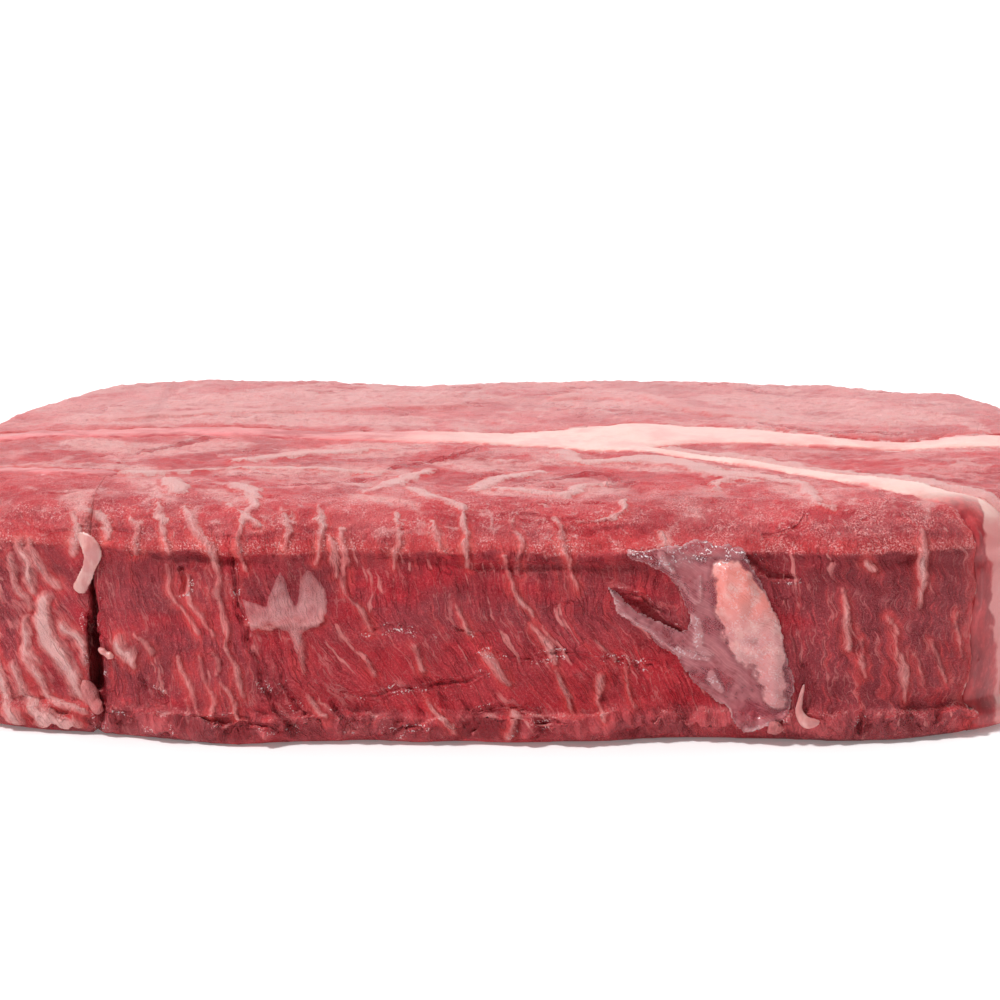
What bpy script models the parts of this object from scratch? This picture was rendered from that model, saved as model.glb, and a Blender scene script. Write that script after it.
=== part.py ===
"""A raw boneless beef chuck roast: one thick slab, cut across the shoulder.

Four muscles lie side by side, parted by seams of fat that run from the top face
to the bottom face. A flap of silver skin is stuck to the long front side.

Metres, +Z up, the long front side towards -Y. The origin is under the middle of
the slab, on the flat face that it rests on.
"""

import math

import bmesh
import bpy
from mathutils import Matrix, Vector, noise

# ---------------------------------------------------------------- driving sizes
LENGTH = 0.266  # along X
DEPTH = 0.168  # along Y
THICKNESS = 0.050  # along Z, at the front
REAR_RISE = 0.0020  # how much thicker the back is
GAP = 0.0003  # clearance between two touching pieces

FRONT_STEP = 0.0038  # spacing of the columns on the front side
OTHER_STEP = 0.0072  # spacing of the columns on the other sides
TOP_RINGS = 4
BOTTOM_RINGS = 2
SPINE = 0.42  # half length of the line that the top rings close on, as a share of LENGTH / 2
REACH = 0.02  # how far a cutter stands out of the slab
WALL_LEVELS = 6  # heights at which a cutter's wavy wall is shaped

# The slab seen from above, anticlockwise from the middle of the front side.
# Shares of half the length and half the depth.
OUTLINE = (
    (0.10, -0.985),
    (0.32, -0.950),
    (0.53, -0.975),
    (0.68, -0.945),
    (0.80, -0.840),
    (0.885, -0.640),
    (0.960, -0.340),
    (1.000, 0.020),
    (0.998, 0.320),
    (0.968, 0.590),
    (0.890, 0.750),
    (0.745, 0.850),
    (0.580, 0.965),
    (0.310, 1.000),
    (0.080, 0.985),
    (-0.110, 0.950),
    (-0.350, 0.965),
    (-0.560, 0.985),
    (-0.710, 0.945),
    (-0.830, 0.800),
    (-0.915, 0.530),
    (-0.970, 0.230),
    (-1.000, -0.060),
    (-0.985, -0.340),
    (-0.920, -0.640),
    (-0.815, -0.830),
    (-0.670, -0.900),
    (-0.540, -0.950),
    (-0.400, -1.000),
    (-0.260, -0.975),
    (-0.100, -0.985),
)

# The side in section: height as a share of THICKNESS, how far it stands in from
# the outline, and how much deeper it goes where a crease is strong, in metres.
# A lip of trimmings runs along the foot, and the top edge is a broad slumped
# bevel that overhangs the face below it.
PROFILE = (
    (0.000, 0.0026, 0.0),
    (0.020, 0.0008, 0.0),
    (0.060, 0.0000, -0.0003),
    (0.108, 0.0002, -0.0002),
    (0.142, 0.0011, 0.0022),
    (0.182, 0.0010, 0.0009),
    (0.310, 0.0007, 0.0),
    (0.480, 0.0010, 0.0),
    (0.650, 0.0006, 0.0),
    (0.760, 0.0007, 0.0005),
    (0.800, 0.0011, 0.0014),
    (0.826, 0.0006, -0.0007),
    (0.885, 0.0018, 0.0),
    (0.938, 0.0043, 0.0),
    (0.974, 0.0080, 0.0),
    (0.994, 0.0125, 0.0),
)
LIP_SHARE = 0.142  # height of the crease over the foot lip
EDGE_SHARE = 0.826  # height of the bevel's lower edge
CREASE_WANDER = 0.0030  # how far the creases rise and fall along the sides

# Seams of fat seen from above, as shares like OUTLINE's. The broad cross seam
# runs from the left side to the right, and its branch leaves for the front
# right corner. Each line is one border of the fat.
FRONT_BORDER = (
    (-1.10, -0.010),
    (-0.88, 0.020),
    (-0.70, 0.065),
    (-0.50, 0.070),
    (-0.30, 0.030),
    (-0.10, -0.055),
    (0.08, -0.110),
    (0.225, -0.165),
    (0.33, -0.260),
    (0.43, -0.375),
    (0.535, -0.560),
    (0.64, -0.735),
    (0.755, -0.880),
    (0.880, -1.080),
)
REAR_BORDER = (
    (-1.10, 0.075),
    (-0.88, 0.120),
    (-0.70, 0.150),
    (-0.50, 0.175),
    (-0.30, 0.150),
    (-0.10, 0.110),
    (0.08, 0.145),
    (0.200, 0.175),
    (0.34, 0.165),
    (0.46, 0.130),
    (0.58, 0.060),
    (0.70, 0.005),
    (0.86, 0.050),
    (1.10, 0.075),
)
WEDGE_TIP = (0.262, -0.110)
WEDGE_REAR = (
    (0.34, -0.045),
    (0.46, -0.035),
    (0.58, -0.050),
    (0.70, -0.085),
    (0.86, -0.090),
    (1.10, -0.095),
)
WEDGE_FRONT = (
    (0.34, -0.190),
    (0.44, -0.290),
    (0.545, -0.455),
    (0.655, -0.600),
    (0.790, -0.770),
    (0.960, -0.980),
)
# The thin seam behind the small end muscle, and the open parting beside it.
END_SEAM_FRONT = (
    (-1.10, -0.505),
    (-0.94, -0.485),
    (-0.83, -0.475),
    (-0.74, -0.500),
    (-0.650, -0.535),
)
END_SEAM_REAR = (
    (-1.10, -0.415),
    (-0.94, -0.400),
    (-0.83, -0.410),
    (-0.74, -0.435),
    (-0.620, -0.470),
)
PARTING_INNER = (-0.648, -0.545)
PARTING_MOUTH = (-0.640, -1.150)
# The open part in section at the mouth: height as a share of THICKNESS, and
# half its width in metres. It tapers to its inner end.
PARTING_SECTION = (
    (0.135, 0.0002),
    (0.200, 0.0011),
    (0.420, 0.0013),
    (0.660, 0.0012),
    (0.800, 0.0008),
    (0.850, 0.0002),
)
PARTING_TAPER = ((0.60, 0.10), (0.30, 1.0), (0.0, 1.3))  # way in from the mouth, width

# Silver skin on the front side: its outline in X (share of LENGTH / 2) and
# height (share of THICKNESS), clockwise from the tip of the upper tail.
SILVER_SKIN = (
    (0.197, 0.838),
    (0.250, 0.856),
    (0.312, 0.872),
    (0.374, 0.845),
    (0.402, 0.785),
    (0.436, 0.590),
    (0.467, 0.330),
    (0.470, 0.170),
    (0.452, 0.085),
    (0.405, 0.062),
    (0.366, 0.110),
    (0.335, 0.165),
    (0.296, 0.290),
    (0.249, 0.450),
    (0.200, 0.548),
    (0.165, 0.678),
    (0.218, 0.636),
    (0.275, 0.560),
    (0.296, 0.640),
    (0.262, 0.745),
)
SKIN_RISE = 0.0009  # how far the skin's face stands out from the meat
FAT_LUMP = (0.384, -0.950)  # middle of the lump under the skin, in shares of the plan
FAT_LUMP_HEIGHT = 0.620
FAT_LUMP_SIZE = (0.0058, 0.0024, 0.0105)  # half sizes
FAT_LUMP_TURN = math.radians(-24)  # its lower end lies to the right

LEAN = (0.40, 0.05, 0.06)
FAT = (0.86, 0.62, 0.55)
MEMBRANE = (0.52, 0.22, 0.23)


# ---------------------------------------------------------------- plain helpers
def plan(point):
    """A point of the plan, from shares to metres."""
    return Vector((point[0] * LENGTH / 2, point[1] * DEPTH / 2, 0.0))


def smooth_line(points, closed=False, per_span=8):
    """A Catmull-Rom line through the points."""
    count = len(points)
    spans = count if closed else count - 1
    line = []
    for i in range(spans):
        if closed:
            a, b, c, d = (points[(i + k) % count] for k in (-1, 0, 1, 2))
        else:
            a, b, c, d = (points[min(max(i + k, 0), count - 1)] for k in (-1, 0, 1, 2))
        for step in range(per_span):
            t = step / per_span
            line.append(
                0.5 * (2 * b + (c - a) * t + (2 * a - 5 * b + 4 * c - d) * t * t
                       + (3 * b - a - 3 * c + d) * t ** 3)
            )
    if not closed:
        line.append(points[-1].copy())
    return line


def walk(loop, step_at):
    """Points along a closed loop, step_at(point) apart."""
    points = []
    want = 0.0
    travelled = 0.0
    for i, start in enumerate(loop):
        end = loop[(i + 1) % len(loop)]
        length = (end - start).length
        while want < travelled + length:
            point = start.lerp(end, (want - travelled) / length)
            points.append(point)
            want += step_at(point)
        travelled += length
    if (points[-1] - points[0]).length < 0.5 * step_at(points[0]):
        points.pop()
    return points


def ease(value, start, end):
    """0 up to start, 1 from end on, and even in between."""
    return min(max((value - start) / (end - start), 0.0), 1.0)


def column_step(point):
    """Columns stand close together on the front side and wider elsewhere."""
    return FRONT_STEP + (OTHER_STEP - FRONT_STEP) * ease(point.y / DEPTH, -0.40, -0.28)


def inward_normals(loop):
    """The horizontal normal of an anticlockwise loop at each point, pointing in."""
    normals = []
    for i in range(len(loop)):
        along = (loop[(i + 1) % len(loop)] - loop[i - 1]).normalized()
        normals.append(Vector((-along.y, along.x, 0.0)))
    return normals


def new_object(name, bm, collection):
    """Puts a finished bmesh into the scene as a named object."""
    mesh = bpy.data.meshes.new(name)
    bm.to_mesh(mesh)
    bm.free()
    obj = bpy.data.objects.new(name, mesh)
    collection.objects.link(obj)
    return obj


def paint(obj, colour, roughness):
    """Gives a piece a plain material of its own."""
    material = bpy.data.materials.new(obj.name)
    material.use_nodes = True
    shader = material.node_tree.nodes["Principled BSDF"]
    shader.inputs["Base Color"].default_value = (*colour, 1.0)
    shader.inputs["Roughness"].default_value = roughness
    obj.data.materials.append(material)


def new_cutter(name, bm, collection):
    obj = new_object(name, bm, collection)
    obj.hide_render = True
    obj.display_type = "WIRE"
    return obj


def cut(obj, cutter, operation):
    modifier = obj.modifiers.new(cutter.name, "BOOLEAN")
    modifier.operation = operation
    modifier.solver = "EXACT"
    modifier.object = cutter


def loft(rings):
    """A closed bmesh over rings of equally many points, with both end rings filled."""
    bm = bmesh.new()
    made = [[bm.verts.new(p) for p in ring] for ring in rings]
    for lower, upper in zip(made, made[1:]):
        for i in range(len(lower)):
            j = (i + 1) % len(lower)
            bm.faces.new((lower[i], lower[j], upper[j], upper[i]))
    bm.faces.new(reversed(made[0]))
    bm.faces.new(made[-1])
    # The shorter diagonal is the same on both sides of a gap, so the two walls stay apart.
    bmesh.ops.triangulate(bm, faces=bm.faces, quad_method="SHORT_EDGE")
    bmesh.ops.recalc_face_normals(bm, faces=bm.faces)
    return bm


def ripple(point, scale, seed):
    """A smooth value from -1 to 1 that changes from place to place in the plan."""
    return noise.noise(Vector((point.x * scale, point.y * scale, seed)))


# ---------------------------------------------------------------- the whole slab
def side_relief(point, height):
    """How far the side is pushed in at a place, in metres: upright bundles of
    fibres, lobes along the foot and long level furrows."""
    bundles = ripple(point, 75, height * 18)
    swell = ripple(point, 22, height * 30 + 7.3)
    foot = max(0.0, 1.0 - height / (LIP_SHARE * THICKNESS * 1.6))
    furrow = ripple(point, 16, height * 150)
    lobes = ripple(point, 60, 3.1)
    return 0.0009 * bundles + 0.0008 * swell + 0.0022 * foot * lobes + 0.0007 * furrow


def crease_strength(point, share):
    """The two creases fade out in places, each in its own."""
    seed = 21.0 if share < 0.5 else 34.0
    return min(max(0.55 + 1.1 * ripple(point, 26, seed), 0.0), 1.0)


def crease_shift(point, share):
    """How far a level line of the side is raised, in metres."""
    held = min(share / LIP_SHARE, (1.0 - share) / (1.0 - EDGE_SHARE), 1.0)
    seed = 43.0 if share < 0.5 else 55.0
    return CREASE_WANDER * held * ripple(point, 20, seed) * (0.45 if share < 0.5 else 1.0)


def top_relief(point):
    """How far the top face is raised at a place, in metres. The slab was cut a
    little thicker towards the back."""
    broad = ripple(point, 27, 1.7)
    fine = ripple(point, 78, 5.9)
    return 0.0011 * broad + 0.0006 * fine + REAR_RISE * ease(point.y / DEPTH, -0.05, 0.45)


def bevel_factor(point):
    """The top edge is slumped broadly along the front side and is crisper
    round the front right corner, the ends and the back."""
    crisp = max(ease(point.y / DEPTH, -0.42, -0.20), ease(point.x / LENGTH, 0.30, 0.42))
    return (1.0 - 0.45 * crisp) * (1.0 + 0.30 * ripple(point, 28, 11.0))


def closing_rings(ring, spine, height_of, count):
    """Rings that shrink a flat end of the slab towards its spine."""
    rings = []
    for k in range(1, count + 1):
        share = 1.0 - 0.9 * k / count
        places = [
            middle.lerp(Vector((edge.x, edge.y, 0.0)), share)
            for edge, middle in zip(ring, spine)
        ]
        rings.append([Vector((p.x, p.y, height_of(p))) for p in places])
    return rings


def slab_rings(grow=0.0):
    """The rings of the slab from the bottom face to the top face. A positive
    grow gives the same slab standing out that far all round its sides."""
    loop = walk(smooth_line([plan(p) for p in OUTLINE], closed=True), column_step)
    inward = inward_normals(loop)
    spine = [
        Vector((min(max(p.x, -SPINE * LENGTH / 2), SPINE * LENGTH / 2), 0.0, 0.0))
        for p in loop
    ]
    sides = []
    for share, inset, crease in PROFILE:
        ring = []
        for point, normal in zip(loop, inward):
            height = share * THICKNESS + crease_shift(point, share)
            depth = inset * (bevel_factor(point) if share > EDGE_SHARE else 1.0)
            depth += crease * crease_strength(point, share)
            depth += side_relief(point, height) * min(1.0, 4.0 * (1.0 - share) + 0.2)
            place = point + normal * (depth - grow)
            rise = top_relief(place) * max(0.0, (share - EDGE_SHARE) / (1.0 - EDGE_SHARE))
            ring.append(Vector((place.x, place.y, height + rise)))
        sides.append(ring)

    top = closing_rings(sides[-1], spine, lambda p: THICKNESS + top_relief(p), TOP_RINGS)
    bottom = closing_rings(sides[0], spine, lambda p: 0.0, BOTTOM_RINGS)
    return bottom[::-1] + sides + top


# ---------------------------------------------------------------- cutters
def drift(point, height):
    """How a seam wanders sideways on its way down through the meat."""
    lean = 0.0016 * math.sin(point.x * 60.0 + 1.0) * (1.0 - height / THICKNESS)
    return lean + 0.0008 * ripple(point, 40, height * 70)


def prism(name, border, collection):
    """An upright block over a closed border, standing out above and below."""
    rings = []
    heights = [THICKNESS * k / (WALL_LEVELS - 1) for k in range(WALL_LEVELS)]
    for height in (-REACH, *heights, THICKNESS + REACH):
        held = min(max(height, 0.0), THICKNESS)
        rings.append([Vector((p.x, p.y + drift(p, held), height)) for p in border])
    return new_cutter(name, loft(rings), collection)


def border_line(points, left_by=0.0):
    """One border of a seam, smoothed, moved to the left of its run by left_by."""
    line = smooth_line([plan(p) for p in points], per_span=3)
    moved = []
    for i, point in enumerate(line):
        along = (line[min(i + 1, len(line) - 1)] - line[max(i - 1, 0)]).normalized()
        moved.append(point + Vector((-along.y, along.x, 0.0)) * left_by)
    return moved


def open_parting(collection):
    """A wedge that opens the parting between the end muscle and the front one."""
    rings = []
    for way, spread in PARTING_TAPER:
        place = plan(PARTING_MOUTH).lerp(plan(PARTING_INNER), way)
        left = [(-width * spread, height) for height, width in PARTING_SECTION]
        right = [(width * spread, height) for height, width in reversed(PARTING_SECTION)]
        rings.append([place + Vector((x, 0.0, h * THICKNESS)) for x, h in left + right])
    return new_cutter("open_parting", loft(rings), collection)


# ---------------------------------------------------------------- the pieces
def piece(name, border, collections):
    """The slab kept inside one border: a muscle or a seam of fat."""
    roast, cutters = collections
    obj = new_object(name, loft(slab_rings()), roast)
    cut(obj, prism(name + "_border", border, cutters), "INTERSECT")
    return obj


def front_pieces(collections):
    """The large front muscle and the small end muscle, with the parting between."""
    aside = Vector((GAP / 2, 0.0, 0.0))
    parting = [plan(PARTING_INNER), plan(PARTING_MOUTH)]
    opening = open_parting(collections[1])
    front_border = (
        border_line(FRONT_BORDER, -GAP / 2)[::-1]
        + border_line(END_SEAM_REAR, GAP / 2)
        + [p + aside for p in parting]
        + [plan((0.30, -1.30)), plan((0.88, -1.20))]
    )
    end_border = (
        border_line(END_SEAM_FRONT, -GAP / 2)[::-1]
        + [plan((-1.15, -1.25))]
        + [p - aside for p in parting[::-1]]
    )
    for name, border in (("front_muscle", front_border), ("end_muscle", end_border)):
        obj = piece(name, border, collections)
        cut(obj, opening, "DIFFERENCE")
        paint(obj, LEAN, 0.4)


def rear_pieces(collections):
    """The long rear muscle and the wedge between the two arms of the fat."""
    rear_border = border_line(REAR_BORDER, GAP / 2) + [plan((1.15, 1.2)), plan((-1.15, 1.2))]
    wedge_border = (
        [plan(WEDGE_TIP)]
        + border_line(WEDGE_REAR)
        + [plan((1.20, -1.00))]
        + border_line(WEDGE_FRONT)[::-1]
    )
    for name, border in (("rear_muscle", rear_border), ("wedge_muscle", wedge_border)):
        paint(piece(name, border, collections), LEAN, 0.4)


def fat_pieces(collections):
    """The forked seam of fat across the slab, and the thin one by the end muscle."""
    forked_border = (
        border_line(FRONT_BORDER, GAP / 2)
        + border_line(WEDGE_FRONT, -GAP)[::-1]
        + [plan(WEDGE_TIP) - Vector((GAP, 0.0, 0.0))]
        + border_line(WEDGE_REAR, GAP)
        + border_line(REAR_BORDER, -GAP / 2)[::-1]
    )
    end_border = (
        border_line(END_SEAM_FRONT, GAP / 2) + border_line(END_SEAM_REAR, -GAP / 2)[::-1]
    )
    tip = max(p.x for p in end_border) - 2 * GAP
    for point in end_border:
        point.x = min(point.x, tip)
    for name, border in (("fat_seam", forked_border), ("end_fat_seam", end_border)):
        paint(piece(name, border, collections), FAT, 0.35)


def silver_skin(collections):
    """A thin flap that follows the front side, with a lump of fat under it."""
    roast, cutters = collections
    obj = new_object("silver_skin", loft(slab_rings(SKIN_RISE + GAP)), roast)
    outline = smooth_line(
        [Vector((u * LENGTH / 2, 0.0, h * THICKNESS)) for u, h in SILVER_SKIN],
        closed=True, per_span=2,
    )
    ends = (-DEPTH, REACH - DEPTH / 2)
    rings = [[p + Vector((0.0, y, 0.0)) for p in outline] for y in ends]
    cut(obj, new_cutter("silver_skin_outline", loft(rings), cutters), "INTERSECT")

    lump = bmesh.new()
    bmesh.ops.create_uvsphere(lump, u_segments=16, v_segments=10, radius=1.0)
    bmesh.ops.scale(lump, vec=FAT_LUMP_SIZE, verts=lump.verts)
    turn = Matrix.Rotation(FAT_LUMP_TURN, 3, "Y")
    bmesh.ops.rotate(lump, matrix=turn, verts=lump.verts)
    bmesh.ops.translate(lump, vec=plan(FAT_LUMP), verts=lump.verts)
    bmesh.ops.translate(lump, vec=(0.0, 0.0, FAT_LUMP_HEIGHT * THICKNESS), verts=lump.verts)
    cut(obj, new_cutter("silver_skin_lump", lump, cutters), "UNION")
    bed = new_cutter("silver_skin_bed", loft(slab_rings(GAP)), cutters)
    cut(obj, bed, "DIFFERENCE")
    paint(obj, MEMBRANE, 0.25)


def build():
    for obj in list(bpy.data.objects):
        bpy.data.objects.remove(obj)
    collections = [bpy.data.collections.new(name) for name in ("chuck_roast", "cutters")]
    for collection in collections:
        bpy.context.scene.collection.children.link(collection)
    front_pieces(collections)
    rear_pieces(collections)
    fat_pieces(collections)
    silver_skin(collections)


build()
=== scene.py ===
# %% [markdown]
# # A raw chuck roast, finished
#
# The solids of this slab of beef are already made: four muscles, two seams of
# fat and a flap of silver skin, each a plain faceted form. This lesson gives
# them their surface: the fibres, the cracks, the marbling and the wet shine.
# We start by loading the solids. They stay where they are, and every finer
# muscle and seam is made from the mesh of the solid that it stands for.

# %% Load the solids
import math

import bmesh
import bpy
import numpy as np
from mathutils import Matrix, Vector, noise


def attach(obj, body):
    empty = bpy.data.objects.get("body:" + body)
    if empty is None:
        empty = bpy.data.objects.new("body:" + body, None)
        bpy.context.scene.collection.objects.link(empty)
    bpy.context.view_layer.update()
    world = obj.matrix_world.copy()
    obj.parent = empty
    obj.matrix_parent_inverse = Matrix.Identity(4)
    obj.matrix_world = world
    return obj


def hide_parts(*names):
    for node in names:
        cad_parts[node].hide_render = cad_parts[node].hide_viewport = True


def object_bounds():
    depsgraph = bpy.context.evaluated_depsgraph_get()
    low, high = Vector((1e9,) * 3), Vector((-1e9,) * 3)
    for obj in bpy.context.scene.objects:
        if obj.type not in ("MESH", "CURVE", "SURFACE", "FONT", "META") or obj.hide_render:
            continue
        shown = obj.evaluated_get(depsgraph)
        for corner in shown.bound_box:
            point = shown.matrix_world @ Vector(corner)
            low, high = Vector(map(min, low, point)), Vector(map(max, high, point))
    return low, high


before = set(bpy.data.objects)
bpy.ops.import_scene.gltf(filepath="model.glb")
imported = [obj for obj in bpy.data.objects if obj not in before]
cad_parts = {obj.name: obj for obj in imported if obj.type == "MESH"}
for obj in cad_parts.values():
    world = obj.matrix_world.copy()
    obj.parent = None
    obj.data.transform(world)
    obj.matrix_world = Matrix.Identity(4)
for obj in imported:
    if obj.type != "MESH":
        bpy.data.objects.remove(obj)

cad_low, cad_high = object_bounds()
FRONT = cad_low.y
MM = 0.001
print("slab", [round(side / MM, 1) for side in cad_high - cad_low], "mm")

# %% [markdown]
# ## Writing nodes as sums
#
# A material or a Geometry Nodes tree soon has a hundred nodes, and linking
# them by hand hides the idea behind them. The small class below wraps one
# socket. Adding or multiplying two of them adds the Math node that does it,
# or a Vector Math node where the socket holds a vector. Every other node comes
# from the method node: its type, its settings, then what goes into its sockets.


# %% One class for node maths
def by_label(sockets, label):
    """A socket by its number or its name. Where a name comes twice, one of the two is in use."""
    if isinstance(label, int):
        return sockets[label]
    return next(s for s in sockets if s.name == label and s.enabled)


class Wire:
    """One output socket of a node tree, to be used in sums."""

    def __init__(self, tree, socket=None):
        self.tree = tree
        self.socket = socket

    def node(self, kind, settings=None, inputs=None, output=0):
        """Adds a node and returns one of its outputs. Settings come first."""
        made = self.tree.nodes.new(kind)
        for name, value in (settings or {}).items():
            setattr(made, name, value)
        for label, value in (inputs or {}).items():
            target = by_label(made.inputs, label)
            if isinstance(value, Wire):
                self.tree.links.new(value.socket, target)
            else:
                target.default_value = value
        return Wire(self.tree, by_label(made.outputs, output))

    def maths(self, operation, first, second=0.0):
        """A Math node, or a Vector Math node if either side is a vector."""
        sides = (first, second)
        kind = "ShaderNodeMath"
        if any(isinstance(s, Wire) and s.socket.type in ("VECTOR", "RGBA") for s in sides):
            kind = "ShaderNodeVectorMath"
            sides = [s if isinstance(s, (Wire, tuple)) else (s, s, s) for s in sides]
        return self.node(kind, {"operation": operation}, dict(enumerate(sides)))

    def __add__(self, other):
        return self.maths("ADD", self, other)

    def __radd__(self, other):
        return self.maths("ADD", other, self)

    def __sub__(self, other):
        return self.maths("SUBTRACT", self, other)

    def __rsub__(self, other):
        return self.maths("SUBTRACT", other, self)

    def __mul__(self, other):
        return self.maths("MULTIPLY", self, other)

    def __abs__(self):
        return self.maths("ABSOLUTE", self)

    def atop(self, other):
        """The larger of the two."""
        return self.maths("MAXIMUM", self, other)

    def part(self, axis):
        """One number of a vector: "X", "Y" or "Z"."""
        return self.node("ShaderNodeSeparateXYZ", None, {0: self}, axis)

    def parts(self):
        """All three numbers of a vector: across, back and up."""
        return [self.part(axis) for axis in "XYZ"]

    def rise(self, low, high):
        """0 below low, 1 above high, smooth in between; high may be the lower one."""
        return self.node(
            "ShaderNodeMapRange",
            {"interpolation_type": "SMOOTHSTEP"},
            {"Value": self, "From Min": low, "From Max": high},
        )

    def thread(self, width):
        """A fine line where this noise crosses one half: 1 on it, 0 beyond its width."""
        return 1.0 - abs(self - 0.5).rise(0.0, width)

    def noise(self, size, detail=2.0, roughness=0.5, output=0):
        """Noise over this vector, whose lumps are about size millimetres wide."""
        inputs = {"Vector": self, "Scale": 1.0 / (size * MM), "Detail": detail, "Roughness": roughness}
        return self.node("ShaderNodeTexNoise", None, inputs, output)

    def cells(self, size, feature="F1"):
        """Rounded cells over this vector, about size millimetres wide."""
        inputs = {"Vector": self, "Scale": 1.0 / (size * MM)}
        return self.node("ShaderNodeTexVoronoi", {"feature": feature}, inputs, "Distance")


print("node maths ready")

# %% [markdown]
# A material is mostly colours laid over one another, the broad ones first and
# the fine ones last. So the helper that matters most takes a list of layers,
# each a mask and a tint.


# %% Helpers for materials
def mix(factor, low, high):
    """A colour between two colours."""
    low, high = [c if isinstance(c, Wire) else (*c, 1.0) for c in (low, high)]
    return factor.node(
        "ShaderNodeMix",
        {"data_type": "RGBA", "clamp_factor": True},
        {"Factor": factor, "A": low, "B": high},
        "Result",
    )


def layered(colour, *layers):
    """Colours laid over one another. Each layer is a mask and a tint."""
    for mask, tint in layers:
        colour = mix(mask, colour, tint)
    return colour


def plug(shader, label, wire):
    wire.tree.links.new(wire.socket, shader.inputs[label])


def new_material(name, settings):
    """A material, its shader, and the place on the object as a Wire.

    Values that are the same all over are set on the shader's own sockets.
    """
    material = bpy.data.materials.new(name)
    material.use_nodes = True
    shader = material.node_tree.nodes["Principled BSDF"]
    for label, value in settings.items():
        shader.inputs[label].default_value = value
    place = Wire(material.node_tree).node("ShaderNodeTexCoord", None, None, "Object")
    return material, shader, place


print("material helpers ready")

# %% [markdown]
# ## Camera, floor and light
#
# The roast lies on a white sweep, and the camera stands low in front of it
# with a long lens, so that the front side fills the picture from edge to edge.
# Raw meat is wet, so what it reflects matters as much as what lights it: a
# soft sun from the left draws the relief, the room is white behind the roast and
# dim on the camera's side, and the floor glows a little, as a sweep lit from
# below does, which keeps it white right up to the meat.

# %% Camera, floor and light
CAMERA_GAP = 0.558  # from the front side to the lens
CAMERA_HEIGHT = 0.168
CAMERA_TILT = math.radians(78.35)
CAMERA_LENS = 100
SUN_FROM = (-0.5, -0.26, 0.83)  # from the left, a little in front, and high up
SUN_POWER = 2.6
SUN_SPREAD = math.radians(9)
ROOM_FRONT = 0.14  # brightness of the room on the camera's side
ROOM_BACK = 1.0  # and behind the roast
WHITE = (1.0, 1.0, 1.0, 1.0)
FLOOR_GLOW = 0.16

scene = bpy.context.scene


def loose_object(name, data):
    made = bpy.data.objects.new(name, data)
    scene.collection.objects.link(made)
    return made


camera = loose_object("camera", bpy.data.cameras.new("camera"))
camera.data.lens = CAMERA_LENS
camera.data.sensor_width = 36
camera.data.clip_start = 0.01
camera.location = (0.0, FRONT - CAMERA_GAP, CAMERA_HEIGHT)
camera.rotation_euler = (CAMERA_TILT, 0.0, 0.0)
scene.camera = camera

sun = loose_object("soft_sun", bpy.data.lights.new("soft_sun", "SUN"))
sun.data.energy = SUN_POWER
sun.data.angle = SUN_SPREAD
sun.rotation_euler = Vector(SUN_FROM).to_track_quat("Z", "Y").to_euler()

world = bpy.data.worlds.new("white_room")
scene.world = world
world.use_nodes = True
room = world.node_tree.nodes["Background"]
room.inputs["Color"].default_value = WHITE
towards = Wire(world.node_tree).node("ShaderNodeTexCoord", None, None, "Generated").part("Y")
plug(room, "Strength", towards.node(
    "ShaderNodeMapRange",
    {"interpolation_type": "SMOOTHSTEP"},
    {"Value": towards, "From Min": -0.35, "From Max": 0.3, "To Min": ROOM_FRONT, "To Max": ROOM_BACK},
))
scene.view_settings.view_transform = "Standard"
scene.view_settings.look = "None"

floor_mesh = bpy.data.meshes.new("floor")
floor_mesh.from_pydata([(-3, -3, 0), (3, -3, 0), (3, 6, 0), (-3, 6, 0)], [], [(0, 1, 2, 3)])
floor_mesh.materials.append(new_material("floor", {
    "Base Color": (0.93, 0.93, 0.93, 1.0),
    "Roughness": 0.9,
    "Specular IOR Level": 0.1,
    "Emission Color": WHITE,
    "Emission Strength": FLOOR_GLOW,
})[0])
floor = loose_object("floor", floor_mesh)
floor.location.z = -0.2 * MM
print("camera", round(CAMERA_GAP, 3), "m in front of the slab")

# %% [markdown]
# ## From a faceted solid to a fine mesh
#
# The solids have faces of several millimetres. A voxel remesh lays an even
# grid of small squares over each, and a short smoothing takes the facets off.
# The long front side is what one sees from close by, so its squares are split
# once more. The grid costs triangles, so nothing is spent on the flat
# underside, and on the largest muscle the faces that nobody sees are thinned
# out again.

# %% Helpers for meshes
def settled(obj):
    """The object with its modifiers worked into its mesh and then removed."""
    graph = bpy.context.evaluated_depsgraph_get()
    mesh = bpy.data.meshes.new_from_object(obj.evaluated_get(graph))
    obj.modifiers.clear()
    old = obj.data
    obj.data = mesh
    obj.vertex_groups.clear()
    bpy.data.meshes.remove(old)
    mesh.name = obj.name
    return obj


def rows_of(points, name="co"):
    """One vector of each point, as the rows of an array."""
    rows = np.zeros(len(points) * 3, np.float32)
    points.foreach_get(name, rows)
    return rows.reshape(-1, 3)


def mesh_from(body, name):
    mesh = bpy.data.meshes.new(name)
    body.to_mesh(mesh)
    body.free()
    return mesh


def wander(places, size, layer):
    """Smooth noise at some places of a plane, from about -1 to 1, and the same on each run."""
    return np.array([noise.noise((x / size, y / size, layer)) for x, y in places.tolist()])


def weigh(obj, name, weights):
    """A vertex group of all points that have a weight."""
    group = obj.vertex_groups.new(name=name)
    for index in np.nonzero(weights)[0].tolist():
        group.add([index], float(weights[index]), "REPLACE")


def regrid(obj, size):
    """Lays an even grid over a piece and takes its facets off."""
    grid = obj.modifiers.new("grid", "REMESH")
    grid.mode = "VOXEL"
    grid.voxel_size = size
    obj.modifiers.new("ease", "SMOOTH").iterations = 3
    return settled(obj)


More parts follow.
